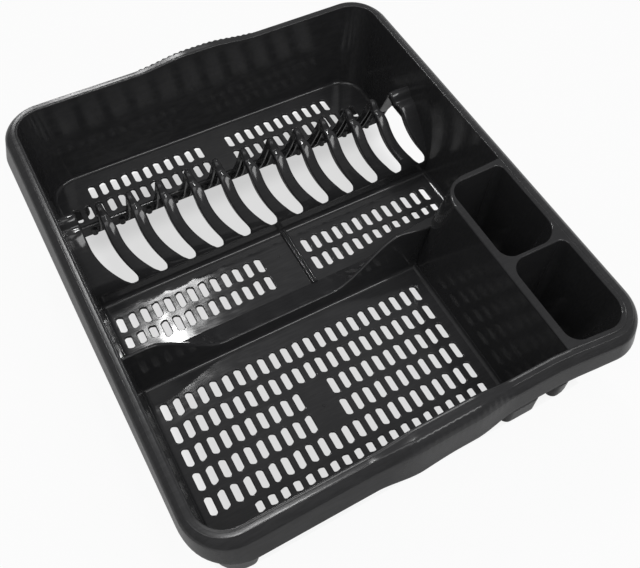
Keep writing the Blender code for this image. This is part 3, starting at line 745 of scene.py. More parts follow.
def repeat_tree() -> Tree:
    """Geometry Nodes that repeat a piece along the tray's width and weld the copies.

    Returns:
        The tree, with count and pitch as named inputs.
    """
    tree, sheet, given, result = new_tree("repeat_across", "GeometryNodeTree", {
        "Piece": (GEOMETRY, None),
        "Count": ("NodeSocketInt", 2),
        "Pitch": (FLOAT, 0.01),
        "Weld distance": (FLOAT, 1e-5),
        "Finish": ("NodeSocketMaterial", None),
    }, {"Piece": GEOMETRY})
    line = sheet.add("GeometryNodeMeshLine", {"mode": "OFFSET"}, {
        "Count": given.outputs["Count"], "Offset": sheet.vector(X=given.outputs["Pitch"])})
    copies = sheet.add("GeometryNodeInstanceOnPoints", None, {
        "Points": line.outputs["Mesh"], "Instance": given.outputs["Piece"]})
    real = sheet.add("GeometryNodeRealizeInstances", None, {"Geometry": copies.outputs["Instances"]})
    welded = sheet.add("GeometryNodeMergeByDistance", None, {
        "Geometry": real.outputs["Geometry"], "Distance": given.outputs["Weld distance"]})
    dress(sheet, given, welded.outputs["Geometry"], result.inputs["Piece"])
    return tree


# Finishes


class SurfaceGroups:
    """Shader node groups that the plastic finishes share."""

    def __init__(self) -> None:
        """Build the groups once."""
        self.ripple = self.make_ripple()
        self.marks = self.make_marks()

    def make_ripple(self) -> Tree:
        """The slow waves and fine grain that the mould leaves.

        Returns:
            A group that puts out a height in metres.
        """
        tree, sheet, given, result = new_tree("mould_ripple", "ShaderNodeTree", {
            "Ripple height": (FLOAT, 0.0001),
            "Grain height": (FLOAT, 0.00001),
        }, {"Height": FLOAT})
        spot = sheet.add("ShaderNodeTexCoord").outputs["Object"]
        waves = sheet.maths("MULTIPLY", sheet.noise(spot, 42.0, 1.0, 0.4), given.outputs["Ripple height"])
        grain = sheet.maths("MULTIPLY", sheet.noise(spot, 900.0, 2.0, 0.6), given.outputs["Grain height"])
        sheet.tree.links.new(sheet.maths("ADD", waves, grain), result.inputs["Height"])
        return tree

    def make_marks(self) -> Tree:
        """Faint smears and dull patches that handling leaves.

        Returns:
            A group that puts out a mask from 0 to 1.
        """
        tree, sheet, given, result = new_tree("handling_marks", "ShaderNodeTree", {
            "Patch size": (FLOAT, 0.04),
            "Smear": (FLOAT, 0.5),
        }, {"Mask": FLOAT})
        spot = sheet.add("ShaderNodeTexCoord").outputs["Object"]
        patches = sheet.noise(spot, sheet.maths("DIVIDE", 1.0, given.outputs["Patch size"]), 3.0, 0.55)
        drawn = sheet.add("ShaderNodeMapping", None, {
            "Vector": spot, "Rotation": (0.2, 0.1, 0.6), "Scale": (1.0, 9.0, 3.0)})
        smears = sheet.noise(drawn.outputs["Vector"], 60.0, 2.0, 0.5)
        blend = sheet.add("ShaderNodeMix", {"data_type": "FLOAT"}, {
            0: given.outputs["Smear"], 2: patches, 3: smears})
        mask = sheet.spread(blend.outputs[0], (0.38, 0.66), (0.0, 1.0))
        sheet.tree.links.new(mask, result.inputs["Mask"])
        return tree


@dataclass(frozen=True)
class PlasticFinish:
    """A finish of black moulded plastic.

    Attributes:
        name: its name.
        colour, worn_colour: its colour where it is fresh and where it is handled.
        gloss, dull: its roughness in the same two places.
        ripple, grain: height of the mould's slow waves and of its fine grain.
        patch, smear: size of the handling marks, and how far they are drawn out.
        rim_dull: roughness that is added on the rim's upper face.
        rim_start, rim_end: how far under the rim that begins and is complete.
    """

    name: str
    colour: Place
    worn_colour: Place
    gloss: float
    dull: float
    ripple: float
    grain: float
    patch: float = 0.04
    smear: float = 0.5
    rim_dull: float = 0.0
    rim_start: float = 0.0016
    rim_end: float = 0.0006

    def build(self, groups: SurfaceGroups) -> Material:
        """Make the material.

        Args:
            groups: the shared node groups.

        Returns:
            The material.
        """
        material = bpy.data.materials.new(self.name)
        material.use_nodes = True
        sheet = NodeSheet(material.node_tree)
        shader = material.node_tree.nodes["Principled BSDF"]
        links = material.node_tree.links
        marks = sheet.add("ShaderNodeGroup", {"node_tree": groups.marks}, {
            "Patch size": self.patch, "Smear": self.smear})
        tone = sheet.add("ShaderNodeMix", {"data_type": "RGBA"}, {
            0: marks.outputs["Mask"], 6: (*self.colour, 1.0), 7: (*self.worn_colour, 1.0)})
        links.new(tone.outputs[2], shader.inputs["Base Color"])
        rough = sheet.spread(marks.outputs["Mask"], (0.0, 1.0), (self.gloss, self.dull), "LINEAR")
        height = sheet.axes("ShaderNodeTexCoord", "Object")["Z"]
        near_rim = (BASIN.rim - self.rim_start, BASIN.rim - self.rim_end)
        rim = sheet.spread(height, near_rim, (0.0, self.rim_dull))
        links.new(sheet.maths("ADD", rough, rim), shader.inputs["Roughness"])
        ripple = sheet.add("ShaderNodeGroup", {"node_tree": groups.ripple}, {
            "Ripple height": self.ripple, "Grain height": self.grain})
        bump = sheet.add("ShaderNodeBump", None, {
            "Strength": 1.0, "Distance": 1.0, "Height": ripple.outputs["Height"]})
        links.new(bump.outputs["Normal"], shader.inputs["Normal"])
        material.diffuse_color = (*self.colour, 1.0)
        return material


GLOSSY = PlasticFinish("glossy_black_plastic", (0.030, 0.030, 0.0315), (0.036, 0.036, 0.0375),
                       0.09, 0.14, 0.00004, 0.0000008)
FLOORS = PlasticFinish("floor_black_plastic", (0.030, 0.030, 0.0315), (0.038, 0.038, 0.0395),
                       0.08, 0.13, 0.00022, 0.000001)
SATIN = PlasticFinish("satin_black_plastic", (0.032, 0.032, 0.0335), (0.040, 0.040, 0.0415),
                      0.13, 0.19, 0.00003, 0.000001, 0.06, 0.7, 0.08)


# The basin


@dataclass(frozen=True)
class Edge:
    """One line of the basin's cross-section, measured from the inside top edge.

    Attributes:
        side_out, end_out: how far it stands out at the tray's sides and ends.
        height: its height over the table.
        rise, push, ribs: how much it takes part in the grips' rise, bulge and ribs.
        low: share of the way down the skirt.
        wall: whether it follows the wall's draft at its height.
    """

    side_out: float
    end_out: float
    height: float
    rise: float = 0.0
    push: float = 0.0
    ribs: float = 0.0
    low: float = 0.0
    wall: bool = False


@dataclass(frozen=True)
class Grip:
    """One end's grip: the run of its blend and its shares of the full rise, bulge and ribs."""

    blend: float
    rise: float
    push: float
    ribs: float


GRIPS = {Side.FRONT: Grip(0.0420, 1.0, 1.0, 0.55), Side.BACK: Grip(0.0560, 0.62, 0.30, 1.6)}


@dataclass
class BasinShell:
    """The basin's walls with the rim, the hanging skirt and the two grips, as one shell."""

    finish: Material
    levels: tuple[float, ...] = (0.045, 0.075, 0.100, 0.112, 0.118, 0.124)
    bend_foot: float = 0.108
    bend_run: float = 0.024
    bead: float = 0.0011
    land: float = 0.0058
    land_sink: float = 0.00048
    knee_side: float = 0.0128
    knee_end: float = 0.0112
    knee_drop: float = 0.0062
    shoulder_drop: float = 0.0034
    shoulder_inset: float = 0.0012
    side_flare: float = 0.0177
    end_flare: float = 0.0120
    front_flare: float = 0.0090
    right_flare: float = 0.0060
    flare_x: float = -0.060
    flare_x_run: float = 0.070
    flare_y: float = 0.150
    flare_y_run: float = 0.060
    left_turn: float = 0.0036
    hem_push: float = 0.7
    hem_radius: float = 0.0009
    skirt_drop: float = 0.0230
    skirt_wall: float = 0.0018
    grip_half: float = 0.0660
    grip_rise: float = 0.0085
    grip_push: float = 0.0060
    grip_deep: float = 0.0035
    rib_pitch: float = 0.0062
    rib_height: float = 0.0008
    rib_blend: float = 0.008
    corner_steps: int = 16
    underpass: Place = (0.0566, 0.1460, 0.0576)
    underpass_slope: float = 0.018
    underpass_back_round: float = 0.008
    underpass_front_round: float = 0.005

    @property
    def sink(self) -> float:
        """The hem's share of the grips' rise, which it takes downwards."""
        return -self.grip_deep / self.grip_rise

    def on_wall(self, out: float, height: float) -> Edge:
        """A line on the wall, which rises with the grips as it nears the rim."""
        return Edge(out, out, height, rise=ease((height - self.bend_foot) / self.bend_run), wall=True)

    def profile(self) -> list[Edge]:
        """The shell's cross-section, from the wall's foot over the rim and back down.

        Returns:
            The edges in order round the section.
        """
        top, wall, bead, hem = BASIN.rim, BASIN.wall, self.bead, self.hem_radius
        foot = BASIN.floor - BASIN.sheet
        edges = [self.on_wall(0.0, z) for z in (foot, *self.levels)]
        edges += [Edge(out, out, top + up, rise=1.0)
                  for out, up in arc((bead, -bead), bead, math.pi, -QUARTER, 5)]
        edges.append(Edge(bead + 0.0006, bead + 0.0006, top - self.land_sink * 0.3, rise=1.0))
        for step in range(7):
            t = step / 7
            out = mix(bead + 0.0012, self.land, t)
            dip = self.land_sink * (1.0 - 0.7 * t - 0.3 * t * t)
            edges.append(Edge(out, out, top - dip, rise=1.0, push=0.4 * t))
        rim = arc((self.land + 0.0001, -0.0010), 0.0011, math.radians(95), -math.radians(70), 4)
        edges += [Edge(out, out, top + up, rise=1.0, push=mix(0.4, 0.6, step / 4), ribs=step / 4)
                  for step, (out, up) in enumerate(rim)]
        edges += self.skirt(rim[-1], 0.0)
        for out, up in arc((-hem, hem), hem, 0.0, -math.pi, 6)[1:]:
            edges.append(Edge(self.side_flare + out, self.end_flare + out, top - self.skirt_drop + up,
                              rise=self.sink, push=self.hem_push, low=1.0))
        edges += list(reversed(self.skirt(rim[-1], self.skirt_wall)))[1:]
        for out, drop, push in ((0.0048, 0.0026, 0.4), (wall + 0.0010, 0.0028, 0.0), (wall, 0.0042, 0.0)):
            edges.append(Edge(out, out, top - drop, rise=1.0, push=push))
        edges += [self.on_wall(wall, z) for z in (*reversed(self.levels), foot + 0.0008)]
        edges.append(Edge(wall - 0.0008, wall - 0.0008, foot, wall=True))
        return edges

    def skirt(self, start: Point, inset: float) -> list[Edge]:
        """The skirt from the outer bead over its round shoulder to the hem.

        Args:
            start: where the outer bead ends, as out and up from the inside top edge.
            inset: how far the line lies inside the skirt's outer face.

        Returns:
            The edges, downwards.
        """
        edges: list[Edge] = []
        bottom = self.skirt_drop - self.hem_radius
        shoulder = ((-start[1], self.shoulder_drop, self.knee_drop),
                    (start[0], self.knee_side - self.shoulder_inset, self.knee_side),
                    (start[0], self.knee_end - self.shoulder_inset, self.knee_end))
        fall = ((self.knee_drop, bottom), (self.knee_side, self.side_flare),
                (self.knee_end, self.end_flare))
        for step in range(1, 15):
            t = step / 8
            if t <= 1.0:
                drop, side, end = (mix(mix(a, b, t), mix(b, c, t), t) for a, b, c in shoulder)
            else:
                drop, side, end = (mix(a, b, (t - 1.0) / 0.75) for a, b in fall)
            low = drop / bottom
            edges.append(Edge(
                side - inset, end - inset, BASIN.rim - drop - inset * 0.6 * (1.0 - low),
                rise=mix(1.0, self.sink, ease(low)), push=mix(0.6, self.hem_push, min(2 * low, 1.0)),
                ribs=max(1.0 - 2.2 * low, 0.0), low=low))
        return edges

    def places(self, side: Side, reach: float) -> list[float]:
        """Where the cross-section is set along one side.

        Args:
            side: the side.
            reach: half the length between the corners.

        Returns:
            Places from one corner to the other.
        """
        if side in (Side.LEFT, Side.RIGHT):
            return [reach * step / 8 for step in range(-8, 9)]
        fine = self.rib_pitch / 6
        count = int((self.grip_half + 0.002) / fine)
        middle = [fine * step for step in range(-count, count + 1)]
        outer = [mix(middle[-1], reach, step / 5) for step in range(1, 6)]
        return [-place for place in reversed(outer)] + middle + outer

    def loop(self, edge: Edge) -> list[Place]:
        """The closed line that one edge of the section draws round the tray.

        Args:
            edge: the edge.

        Returns:
            Its points, anticlockwise from the front left corner.
        """
        base = edge.height if edge.wall else BASIN.rim
        half_width = BASIN.width_at(base) + edge.side_out
        half_length = BASIN.length_at(base) + edge.end_out
        corner = BASIN.corner_at(base) + edge.side_out
        points: list[Place] = []
        for side in Side:
            grip = GRIPS.get(side)
            along, across = (half_width, half_length) if grip else (half_length, half_width)
            reach = along - corner
            line = [(x, -across) for x in self.places(side, reach)]
            line += arc((reach, corner - across), corner, -QUARTER, QUARTER, self.corner_steps)[1:-1]
            for x, y in line:
                rise = 0.0
                if grip:
                    bump = ease((self.grip_half - abs(x)) / grip.blend)
                    rise = self.grip_rise * bump * grip.rise
                    wave = 0.5 - 0.5 * math.cos(2 * math.pi * x / self.rib_pitch)
                    inside = ease((self.grip_half - abs(x)) / self.rib_blend)
                    y -= edge.push * self.grip_push * bump * grip.push
                    y -= edge.ribs * self.rib_height * inside * wave * grip.ribs
                for _ in range(side.value):
                    x, y = -y, x
                height = edge.height + edge.rise * rise
                points.append((*self.settle_place(x, y, height, edge.low), height))
        return points

    def settle_place(self, x: float, y: float, height: float, low: float) -> Point:
        """Where a point of the rim ends up once the skirt's uneven flare is counted.

        Args:
            x, y: the point.
            height: its height over the table.
            low: share of the way down the skirt.

        Returns:
            The moved point.
        """
        front = min(max(-y / BASIN.half_length, 0.0), 1.0)
        back = min(max(y / BASIN.half_length, 0.0), 1.0)
        left = ease(-x / BASIN.half_width)
        x, y = BASIN.swell(x, y, height)
        x += self.left_turn * low * left * (0.7 * front - 0.5 * back + 0.4)
        flare = mix(self.front_flare, self.right_flare, ease((x - self.flare_x) / self.flare_x_run))
        y -= flare * low * ease((-y - self.flare_y) / self.flare_y_run)
        return x, y

    def opening_tool(self) -> Piece:
        """Cut the low opening under the rack in both side walls, with rounded upper corners.

        Returns:
            The cutter.
        """
        front, back, top = self.underpass
        foot = BASIN.floor - BASIN.sheet - 0.002
        section = [(front, foot), (back, foot)]
        r = self.underpass_back_round
        section += arc((back - self.underpass_slope, top - r), r, math.radians(25), math.radians(65), 6)
        r = self.underpass_front_round
        section += arc((front + r, top - r), r, QUARTER, QUARTER, 6)
        reach = BASIN.width_at(BASIN.rim) + BASIN.wall + 0.002
        rings = [[(sign * reach, y, z) for y, z in section] for sign in (-1, 1)]
        return new_piece("tool_underpass", solid(rings), None)

    def build(self) -> Piece:
        """Make the shell.

        Returns:
            The finished piece.
        """
        rings = [self.loop(edge) for edge in self.profile()]
        shell = new_piece("basin_shell", solid(rings, along=True), self.finish)
        boolean(shell, self.opening_tool())
        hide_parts(*[kind + "_" + side.name.lower() for kind in ("wall", "rim") for side in Side])
        return shell


# Slotted floors


@dataclass(frozen=True)
class SlotGrid:
    """Columns and rows of drain slots."""

    columns: tuple[float, ...]
    rows: tuple[float, ...]
    blocked: tuple[Box, ...] = ()
    shorter: Callable[[int, int], float] = lambda column, row: 1.0

    @staticmethod
    def inside(point: Point, outline: Sequence[Point], margin: float) -> bool:
        """Whether a point lies within a convex outline.

        Args:
            point: the point.
            outline: the outline, anticlockwise.
            margin: least distance from its edges.

        Returns:
            True if it does.
        """
        for index, end in enumerate(outline):
            start = outline[index - 1]
            along = Vector((end[0] - start[0], end[1] - start[1]))
            if along.length == 0.0:
                continue
            along.normalize()
            if along.x * (point[1] - start[1]) - along.y * (point[0] - start[0]) < margin:
                return False
        return True

    def places(self, outline: Sequence[Point]) -> list[SlotPlace]:
        """The slots that fit an outline.

        Args:
            outline: the panel's convex outline.

        Returns:
            The slots' places.
        """
        found = []
        for column, x in enumerate(self.columns):
            slant = Slant.RISING if column % 2 else Slant.FALLING
            for row, y in enumerate(self.rows):
                fits = all(self.inside(p, outline, SLOT.margin) for p in SLOT.corners((x, y), slant))
                free = not any(a < x < b and c < y < d for a, b, c, d in self.blocked)
                stretch = self.shorter(column, row)
                if fits and free and stretch > 0.0:
                    found.append(SlotPlace(x, y, slant).shortened(stretch))
        return found


class SlotCutter:
    """Pierces panels with drain slots."""

    def __init__(self) -> None:
        """Build the node tree once."""
        self.tree = slot_tree()

    def pierce(self, panel: Piece, places: Sequence[SlotPlace], height: float, depth: float,
               finish: Material) -> None:
        """Cut slots through a panel and bake the result.

        Args:
            panel: the panel.
            places: where the slots are.
            height: height of the panel's upper face.
            depth: how far down the slots are cut.
            finish: the panel's finish.
        """
        mesh = bpy.data.meshes.new("slot_places")
        mesh.from_pydata([(place.x, place.y, height) for place in places], [], [])
        slants = mesh.attributes.new("slant", "FLOAT", "POINT")
        slants.data.foreach_set("value", [place.slant.value for place in places])
        stretches = mesh.attributes.new("stretch", "FLOAT", "POINT")
        stretches.data.foreach_set("value", [place.stretch for place in places])
        marker = bpy.data.objects.new("slot_places", mesh)
        bpy.context.scene.collection.objects.link(marker)
        apply_tree(panel, self.tree, {"Places": marker, "Depth": depth, "Finish": finish})
        settle(panel)
        bpy.data.objects.remove(marker, do_unlink=True)


@dataclass
class FloorPanel:
    """One slotted floor panel with the fillets along its edges."""

    name: str
    node: str
    finish: Material
    height: float
    shown: list[Point]
    slots: list[SlotPlace]
    coves: list[list[Point]] = field(default_factory=list)
    cove_radius: float = 0.0040
    marks: list[Point] = field(default_factory=list)

    def build(self, cutter: SlotCutter) -> Piece:
        """Make the panel.

        Args:
            cutter: the slot cutter.

        Returns:
            The finished piece.
        """
        rings = [level(self.shown, self.height - BASIN.sheet), level(self.shown, self.height)]
        panel = new_piece(self.name, solid(rings), self.finish)
        cutter.pierce(panel, self.slots, self.height, 2 * BASIN.sheet, self.finish)
        LOG.info("%s has %d slots", self.name, len(self.slots))
        bm = bmesh.new()
        bm.from_mesh(panel.data)
        for path in self.coves:
            merge_in(bm, cove(path, self.height, self.cove_radius))
        for x, y in self.marks:
            rings = [level(arc((x, y), radius, 0.0, math.radians(330), 11), self.height + rise)
                     for radius, rise in ((0.0013, -0.0002), (0.0013, 0.0005), (0.0009, 0.0008))]
            merge_in(bm, solid(rings))
        bm.to_mesh(panel.data)
        bm.free()
        settle(panel)
        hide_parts(self.node)
        return panel


def run_of(outline: Sequence[Point], keep: Callable[[Point], bool]) -> list[Point]:
    """The longest unbroken run of an outline's points that pass a test.

    Args:
        outline: a closed outline.
        keep: the test.

    Returns:
        The points of the run, in order.
    """
    doubled = list(outline) + list(outline)
    best: list[Point] = []
    run: list[Point] = []
    for point in doubled:
        run = run + [point] if keep(point) else []
        if len(run) > len(best) and len(run) <= len(outline):
            best = run
    return best


@dataclass
class Floors:
    """The floors of the cup bay, the middle trough and the back trough."""

    finish: Material
    feet: tuple[Box, ...]
    repeat: Tree
    seam: float = 0.0003
    short_slot: float = 0.55
    lug_radius: float = 0.0032
    lug_first: float = -0.1579
    lug_pitch: float = 0.0294
    bay_column: float = 0.0110
    bay_first: float = 0.0290
    bay_pitch: float = 0.0234
    gate: Box = (-0.0564, -0.0344, -0.1475, -0.1095)
    middle_first: float = 0.0262
    middle_pitch: float = 0.0226
    middle_left: float = 0.0086
    middle_right: float = 0.0108
    rib_x: float = 0.0060
    rib_width: float = 0.0060
    rib_height: float = 0.0028
    back_seam_x: float = -0.0050
    back_first: float = 0.0259
    back_pitch: float = 0.0233
    back_column: float = 0.0180
    lap: float = 0.001
    tuck: float = 0.0004
    bevel: float = 0.020
    bevel_cove: float = 0.130
    ridge_slot: float = 0.74
    least_slot: float = 0.58
    slot_step: float = 0.09
    rib_bead: float = 0.0013
    lip_drop: float = 0.0133
    lip_round: float = 0.0012
    lug_height: float = 0.0080

    def panel(self, height: float, left: float, right: float, front: float, back: float,
              grow: float) -> list[Point]:
        """Part of the basin's outline between four lines.

        Args:
            height: height at which it is taken.
            left, right, front, back: the lines.
            grow: how far the outline is moved into the walls.

        Returns:
            The panel's outline.
        """
        outline = BASIN.outline(height, grow, 8 if grow < 0 else 14)
        outline = clip(clip(outline, 0, left, True), 0, right, False)
        return clip(clip(outline, 1, front, True), 1, back, False)

    def cup_bay(self) -> FloorPanel:
        """The cup bay's floor.

        Returns:
            The panel, ready to build.
        """
        foot = BASIN.floor - BASIN.sheet
        area = (-BASIN.half_width, BASIN.block_x - self.seam, -BASIN.half_length,
                BASIN.divider_y - self.seam)
        columns = [self.bay_column - BASIN.half_width + SLOT.pitch * n for n in range(24)]
        rows = [BASIN.divider_y - self.bay_first - self.bay_pitch * n for n in range(8)]
        shown = self.panel(BASIN.floor, -1.0, BASIN.block_x + self.lap, -1.0,
                           BASIN.divider_y + self.lap, self.lap)
        wall = BASIN.outline(BASIN.floor, 0.0)
        front = run_of(wall, lambda p: p[1] < BASIN.divider_y and p[0] < BASIN.block_x)
        path = [(-BASIN.half_width, BASIN.divider_y)] + front + [(BASIN.block_x, -BASIN.half_length)]
        side = [(BASIN.block_x, -BASIN.half_length), (BASIN.block_x, BASIN.divider_y)]
        grid = SlotGrid(tuple(columns), tuple(rows), (self.gate, *self.feet), self.front_row)
        return FloorPanel("cup_bay_grille", "front_floor", self.finish, BASIN.floor, shown,
                          grid.places(self.panel(foot, *area, -self.seam)), [path, side],
                          marks=[(-0.0454, -0.1300)])

    def front_row(self, column: int, row: int) -> float:
        """Share of its length that a slot of the cup bay keeps, as the front row is short.

        Args:
            column, row: the slot's place in the grid.

        Returns:
            The share, or 0 where there is no slot.
        """
        if row < 5:
            return 1.0
        return self.short_slot if column > 2 else 0.0

    def left_row(self, column: int, row: int) -> float:
        """Share of their length that the left middle panel's slots keep beside the high ridge."""
        return 1.0 if row == 0 or column > 2 else self.ridge_slot

    def right_row(self, column: int, row: int) -> float:
        """Share of their length that the right middle panel's slots keep as the ridge climbs."""
        return 1.0 if row == 0 else min(1.0, max(self.least_slot, 1.0 - self.slot_step * (column - 3)))

    def middle(self) -> list[FloorPanel]:
        """The middle trough's two panels.

        Returns:
            The panels, ready to build.
        """
        height = BASIN.middle_floor
        foot = height - BASIN.sheet
        back, front = BASIN.rack_y - self.seam, BASIN.middle_y + self.seam
        rows = tuple(BASIN.rack_y - self.middle_first - self.middle_pitch * n for n in range(2))
        left_end = BASIN.width_at(height)
        first = self.middle_left - BASIN.half_width
        columns = tuple(first + SLOT.pitch * n for n in range(13))
        lap, low, high = self.lap, front - self.lap, back + self.lap
        shown = [(-left_end - lap, low), (self.rib_x, low), (self.rib_x, high), (-left_end - lap, high)]
        outline = self.panel(foot, -BASIN.half_width, self.rib_x - self.seam, front, back, -self.seam)
        slots = SlotGrid(columns, rows, shorter=self.left_row).places(outline)
        panels = [FloorPanel("middle_grille_left", "middle_floor_left", self.finish, height, shown, slots,
                             [[(-left_end, back), (-left_end, front)]], marks=[(-0.0086, 0.0290)])]
        start = self.rib_x + self.rib_width
        end = BASIN.width_at(foot) - self.seam
        bevel = BASIN.middle_y + self.bevel
        outline = [(start + self.seam, front), (BASIN.bevel_x, front), (end, bevel), (end, back),
                   (start + self.seam, back)]
        shown = [(start, low), (BASIN.bevel_x, low), (left_end + lap, bevel - lap),
                 (left_end + lap, high), (start, high)]
        first = start + self.middle_right
        columns = tuple(first + SLOT.pitch * n for n in range(13))
        coves = [[(self.bevel_cove, BASIN.middle_y), (BASIN.bevel_x, BASIN.middle_y),
                  (left_end, bevel), (left_end, back)]]
        panels.append(FloorPanel("middle_grille_right", "middle_floor_right", self.finish, height, shown,
                                 SlotGrid(columns, rows, shorter=self.right_row).places(outline), coves))
        return panels

    def back(self) -> list[FloorPanel]:
        """The back trough's two panels.

        Returns:
            The panels, ready to build.
        """
        height = BASIN.back_floor
        foot = height - BASIN.sheet
        half_width, half_length = BASIN.width_at(foot), BASIN.length_at(foot)
        front = BASIN.lip_y + BASIN.wall + self.seam
        wall = BASIN.outline(height, 0.0)
        panels = []
        for name, sign in (("left", -1), ("right", 1)):
            ends = sorted((self.back_seam_x + sign * self.seam / 2, sign * half_width))
            outline = self.panel(foot, *ends, front, half_length, -self.seam)
            edge = sorted((self.back_seam_x, float(sign)))
            shown = self.panel(height, *edge, front - self.lap, 1.0, self.lap)
            slots: list[SlotPlace] = []
            for row, count in enumerate((11, 13)):
                y = half_length - self.back_first - self.back_pitch * row
                columns = tuple(self.back_seam_x + sign * (self.back_column + SLOT.pitch * n)
                                for n in range(count))
                slots += SlotGrid(columns, (y,)).places(outline)
            part = run_of(wall, lambda p: p[1] > front and p[0] * sign > 0.0)
            seam_end = (self.back_seam_x, BASIN.length_at(height))
            path = [seam_end] + part + [(-BASIN.width_at(height), front)] if sign < 0 else (
                [(BASIN.width_at(height), front)] + part + [seam_end])
            panels.append(FloorPanel("back_grille_" + name, "back_floor_" + name, self.finish, height,
                                     shown, slots, [path]))
        return panels

    def rib(self) -> Piece:
        """The drain rib: a low bar with a bead along each edge.

        Returns:
            The finished piece.
        """
        left, right = self.rib_x, self.rib_x + self.rib_width
        low, high = BASIN.middle_floor - BASIN.sheet, BASIN.middle_floor + self.rib_height
        bead = self.rib_bead
        section = [(left, low), (right, low), (right, high - bead)]
        for x in (right - bead, left + bead):
            section += arc((x, high - bead), bead, math.radians(10), math.radians(160), 9)
        section.append((left, high - bead))
        ends = (BASIN.middle_y, BASIN.rack_y + self.tuck)
        rings = [[(x, y, z) for x, z in section] for y in ends]
        rib = settle(new_piece("centre_rib", solid(rings), self.finish))
        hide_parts("drain_rib")
        return rib

    def lip(self) -> Piece:
        """The lip that hangs from the back trough's front edge.

        Returns:
            The finished piece.
        """
        front, back = BASIN.lip_y - self.seam, BASIN.lip_y + BASIN.wall + self.tuck
        low, high = BASIN.back_floor - self.lip_drop, BASIN.back_floor
        section = [(front, low), (back, low), (back, high), (back - self.tuck, high)]
        r = self.lip_round
        section += arc((front + r, high - r), r, QUARTER, QUARTER, 5)
        rings = [[(sign * (BASIN.width_at(z) + OVERRUN), y, z) for y, z in section] for sign in (-1, 1)]
        half_disc = arc((self.lug_first, front + OVERRUN), self.lug_radius, math.pi, math.pi, 10)
        ends = [level(half_disc, z) for z in (low, low + self.lug_height)]
        lug = new_piece("lugs", solid(ends), self.finish)
        apply_tree(lug, self.repeat, {"Count": 12, "Pitch": self.lug_pitch, "Finish": self.finish})
        settle(lug)
        bm = solid(rings)
        bm.from_mesh(lug.data)
        bpy.data.objects.remove(lug, do_unlink=True)
        lip = settle(new_piece("back_trough_lip", bm, self.finish))
        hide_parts("back_lip")
        return lip

    def build(self, cutter: SlotCutter) -> list[Piece]:
        """Make the floors.

        Args:
            cutter: the slot cutter.

        Returns:
            The finished pieces.
        """
        panels = [self.cup_bay(), *self.middle(), *self.back()]
        return [panel.build(cutter) for panel in panels] + [self.rib(), self.lip()]


# Divider


@dataclass
class WavyDivider:
    """The folded divider, whose ridge dips in the middle of the tray."""

    finish: Material
    lean: float = 0.13
    ridge: float = 0.0036
    low: float = 0.0138
    high: float = 0.0540
    low_start: float = -0.0970
    low_end: float = 0.0150
    left_ramp: float = 0.0680
    right_ramp: float = 0.0760
    merge_x: float = 0.0850
    merge_run: float = 0.0350
    merge_width: float = 0.0045
    thickness: float = 0.0018
    cove: float = 0.0044
    sag: float = 0.0012
    end_height: float = 0.078
    block_run: float = 0.0300

    def rise(self, x: float) -> float:
        """Height of the ridge over the cup bay's floor.

        Args:
            x: place across the tray.

        Returns:
            The height.
        """
        left = ease((self.low_start - x) / self.left_ramp)
        right = ease((x - self.low_end) / self.right_ramp)
        return mix(self.low, self.high, max(left, right))

    def section(self, x: float) -> list[Point]:
        """The divider's outer line at x.

        Args:
            x: place across the tray.

        Returns:
            Points of y and z from the cup bay's floor over the ridge to the middle trough.
        """
        rise = self.rise(x)
        top = BASIN.floor + rise
        merge = ease((x - self.merge_x) / self.merge_run)
        front_y = BASIN.divider_y
        ridge_y = front_y + rise * self.lean - self.merge_width * merge
        r = self.cove
        points = foot_round(front_y, BASIN.floor, r, 5)
        half = self.ridge / 2
        points += [(mix(front_y, ridge_y, t), mix(BASIN.floor + r, top - half, t))
                   for t in (0.15, 0.4, 0.7)]
        crown = arc((ridge_y + half, top - half), half, math.pi, -QUARTER, 6)
        flat = ridge_y + half + self.merge_width * merge * 1.6
        crown += arc((flat + 0.0001, top - half), half, QUARTER, -math.radians(60), 4)
        points += crown
        end = (BASIN.middle_y + SUNK, BASIN.middle_floor + SKIM)
        last = crown[-1]
        for t in (0.2, 0.45, 0.7, 0.9):
            sag = self.sag * math.sin(math.pi * t) * min(rise / self.high, 1.0)
            points.append((mix(last[0], end[0], t), mix(last[1], end[1], t) - sag))
        points.append(end)
        return points

    def build(self) -> Piece:
        """Make the divider.

        Returns:
            The finished piece.
        """
        start, stop = -BASIN.width_at(self.end_height) - SUNK, BASIN.block_x + self.block_run
        count = 110
        bm = bmesh.new()
        rings = []
        for step in range(count + 1):
            x = mix(start, stop, step / count)
            rings.append([(max(x, -BASIN.width_at(z) - SUNK), y, z) for y, z in self.section(x)])
        skin(bm, rings, False, False)
        bmesh.ops.reverse_faces(bm, faces=bm.faces)
        divider = new_piece("wavy_divider", bm, self.finish)
        thicken(divider, self.thickness)
        settle(divider)
        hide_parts("divider")
        return divider


# Plate rack


@dataclass(frozen=True)
class Station:
    """One place along a rack arm.

    Attributes:
        y, z: its outer line.
        tilt: the way its flanges hang.
        depth: how deep they are.
        rise: height over the gap's round end, for the rack's front, or None further on.
        narrow: share of its width that it loses.
    """

    y: float
    z: float
    tilt: float = 0.0
    depth: float = 0.0
    rise: float | None = 0.0
    narrow: float = 0.0


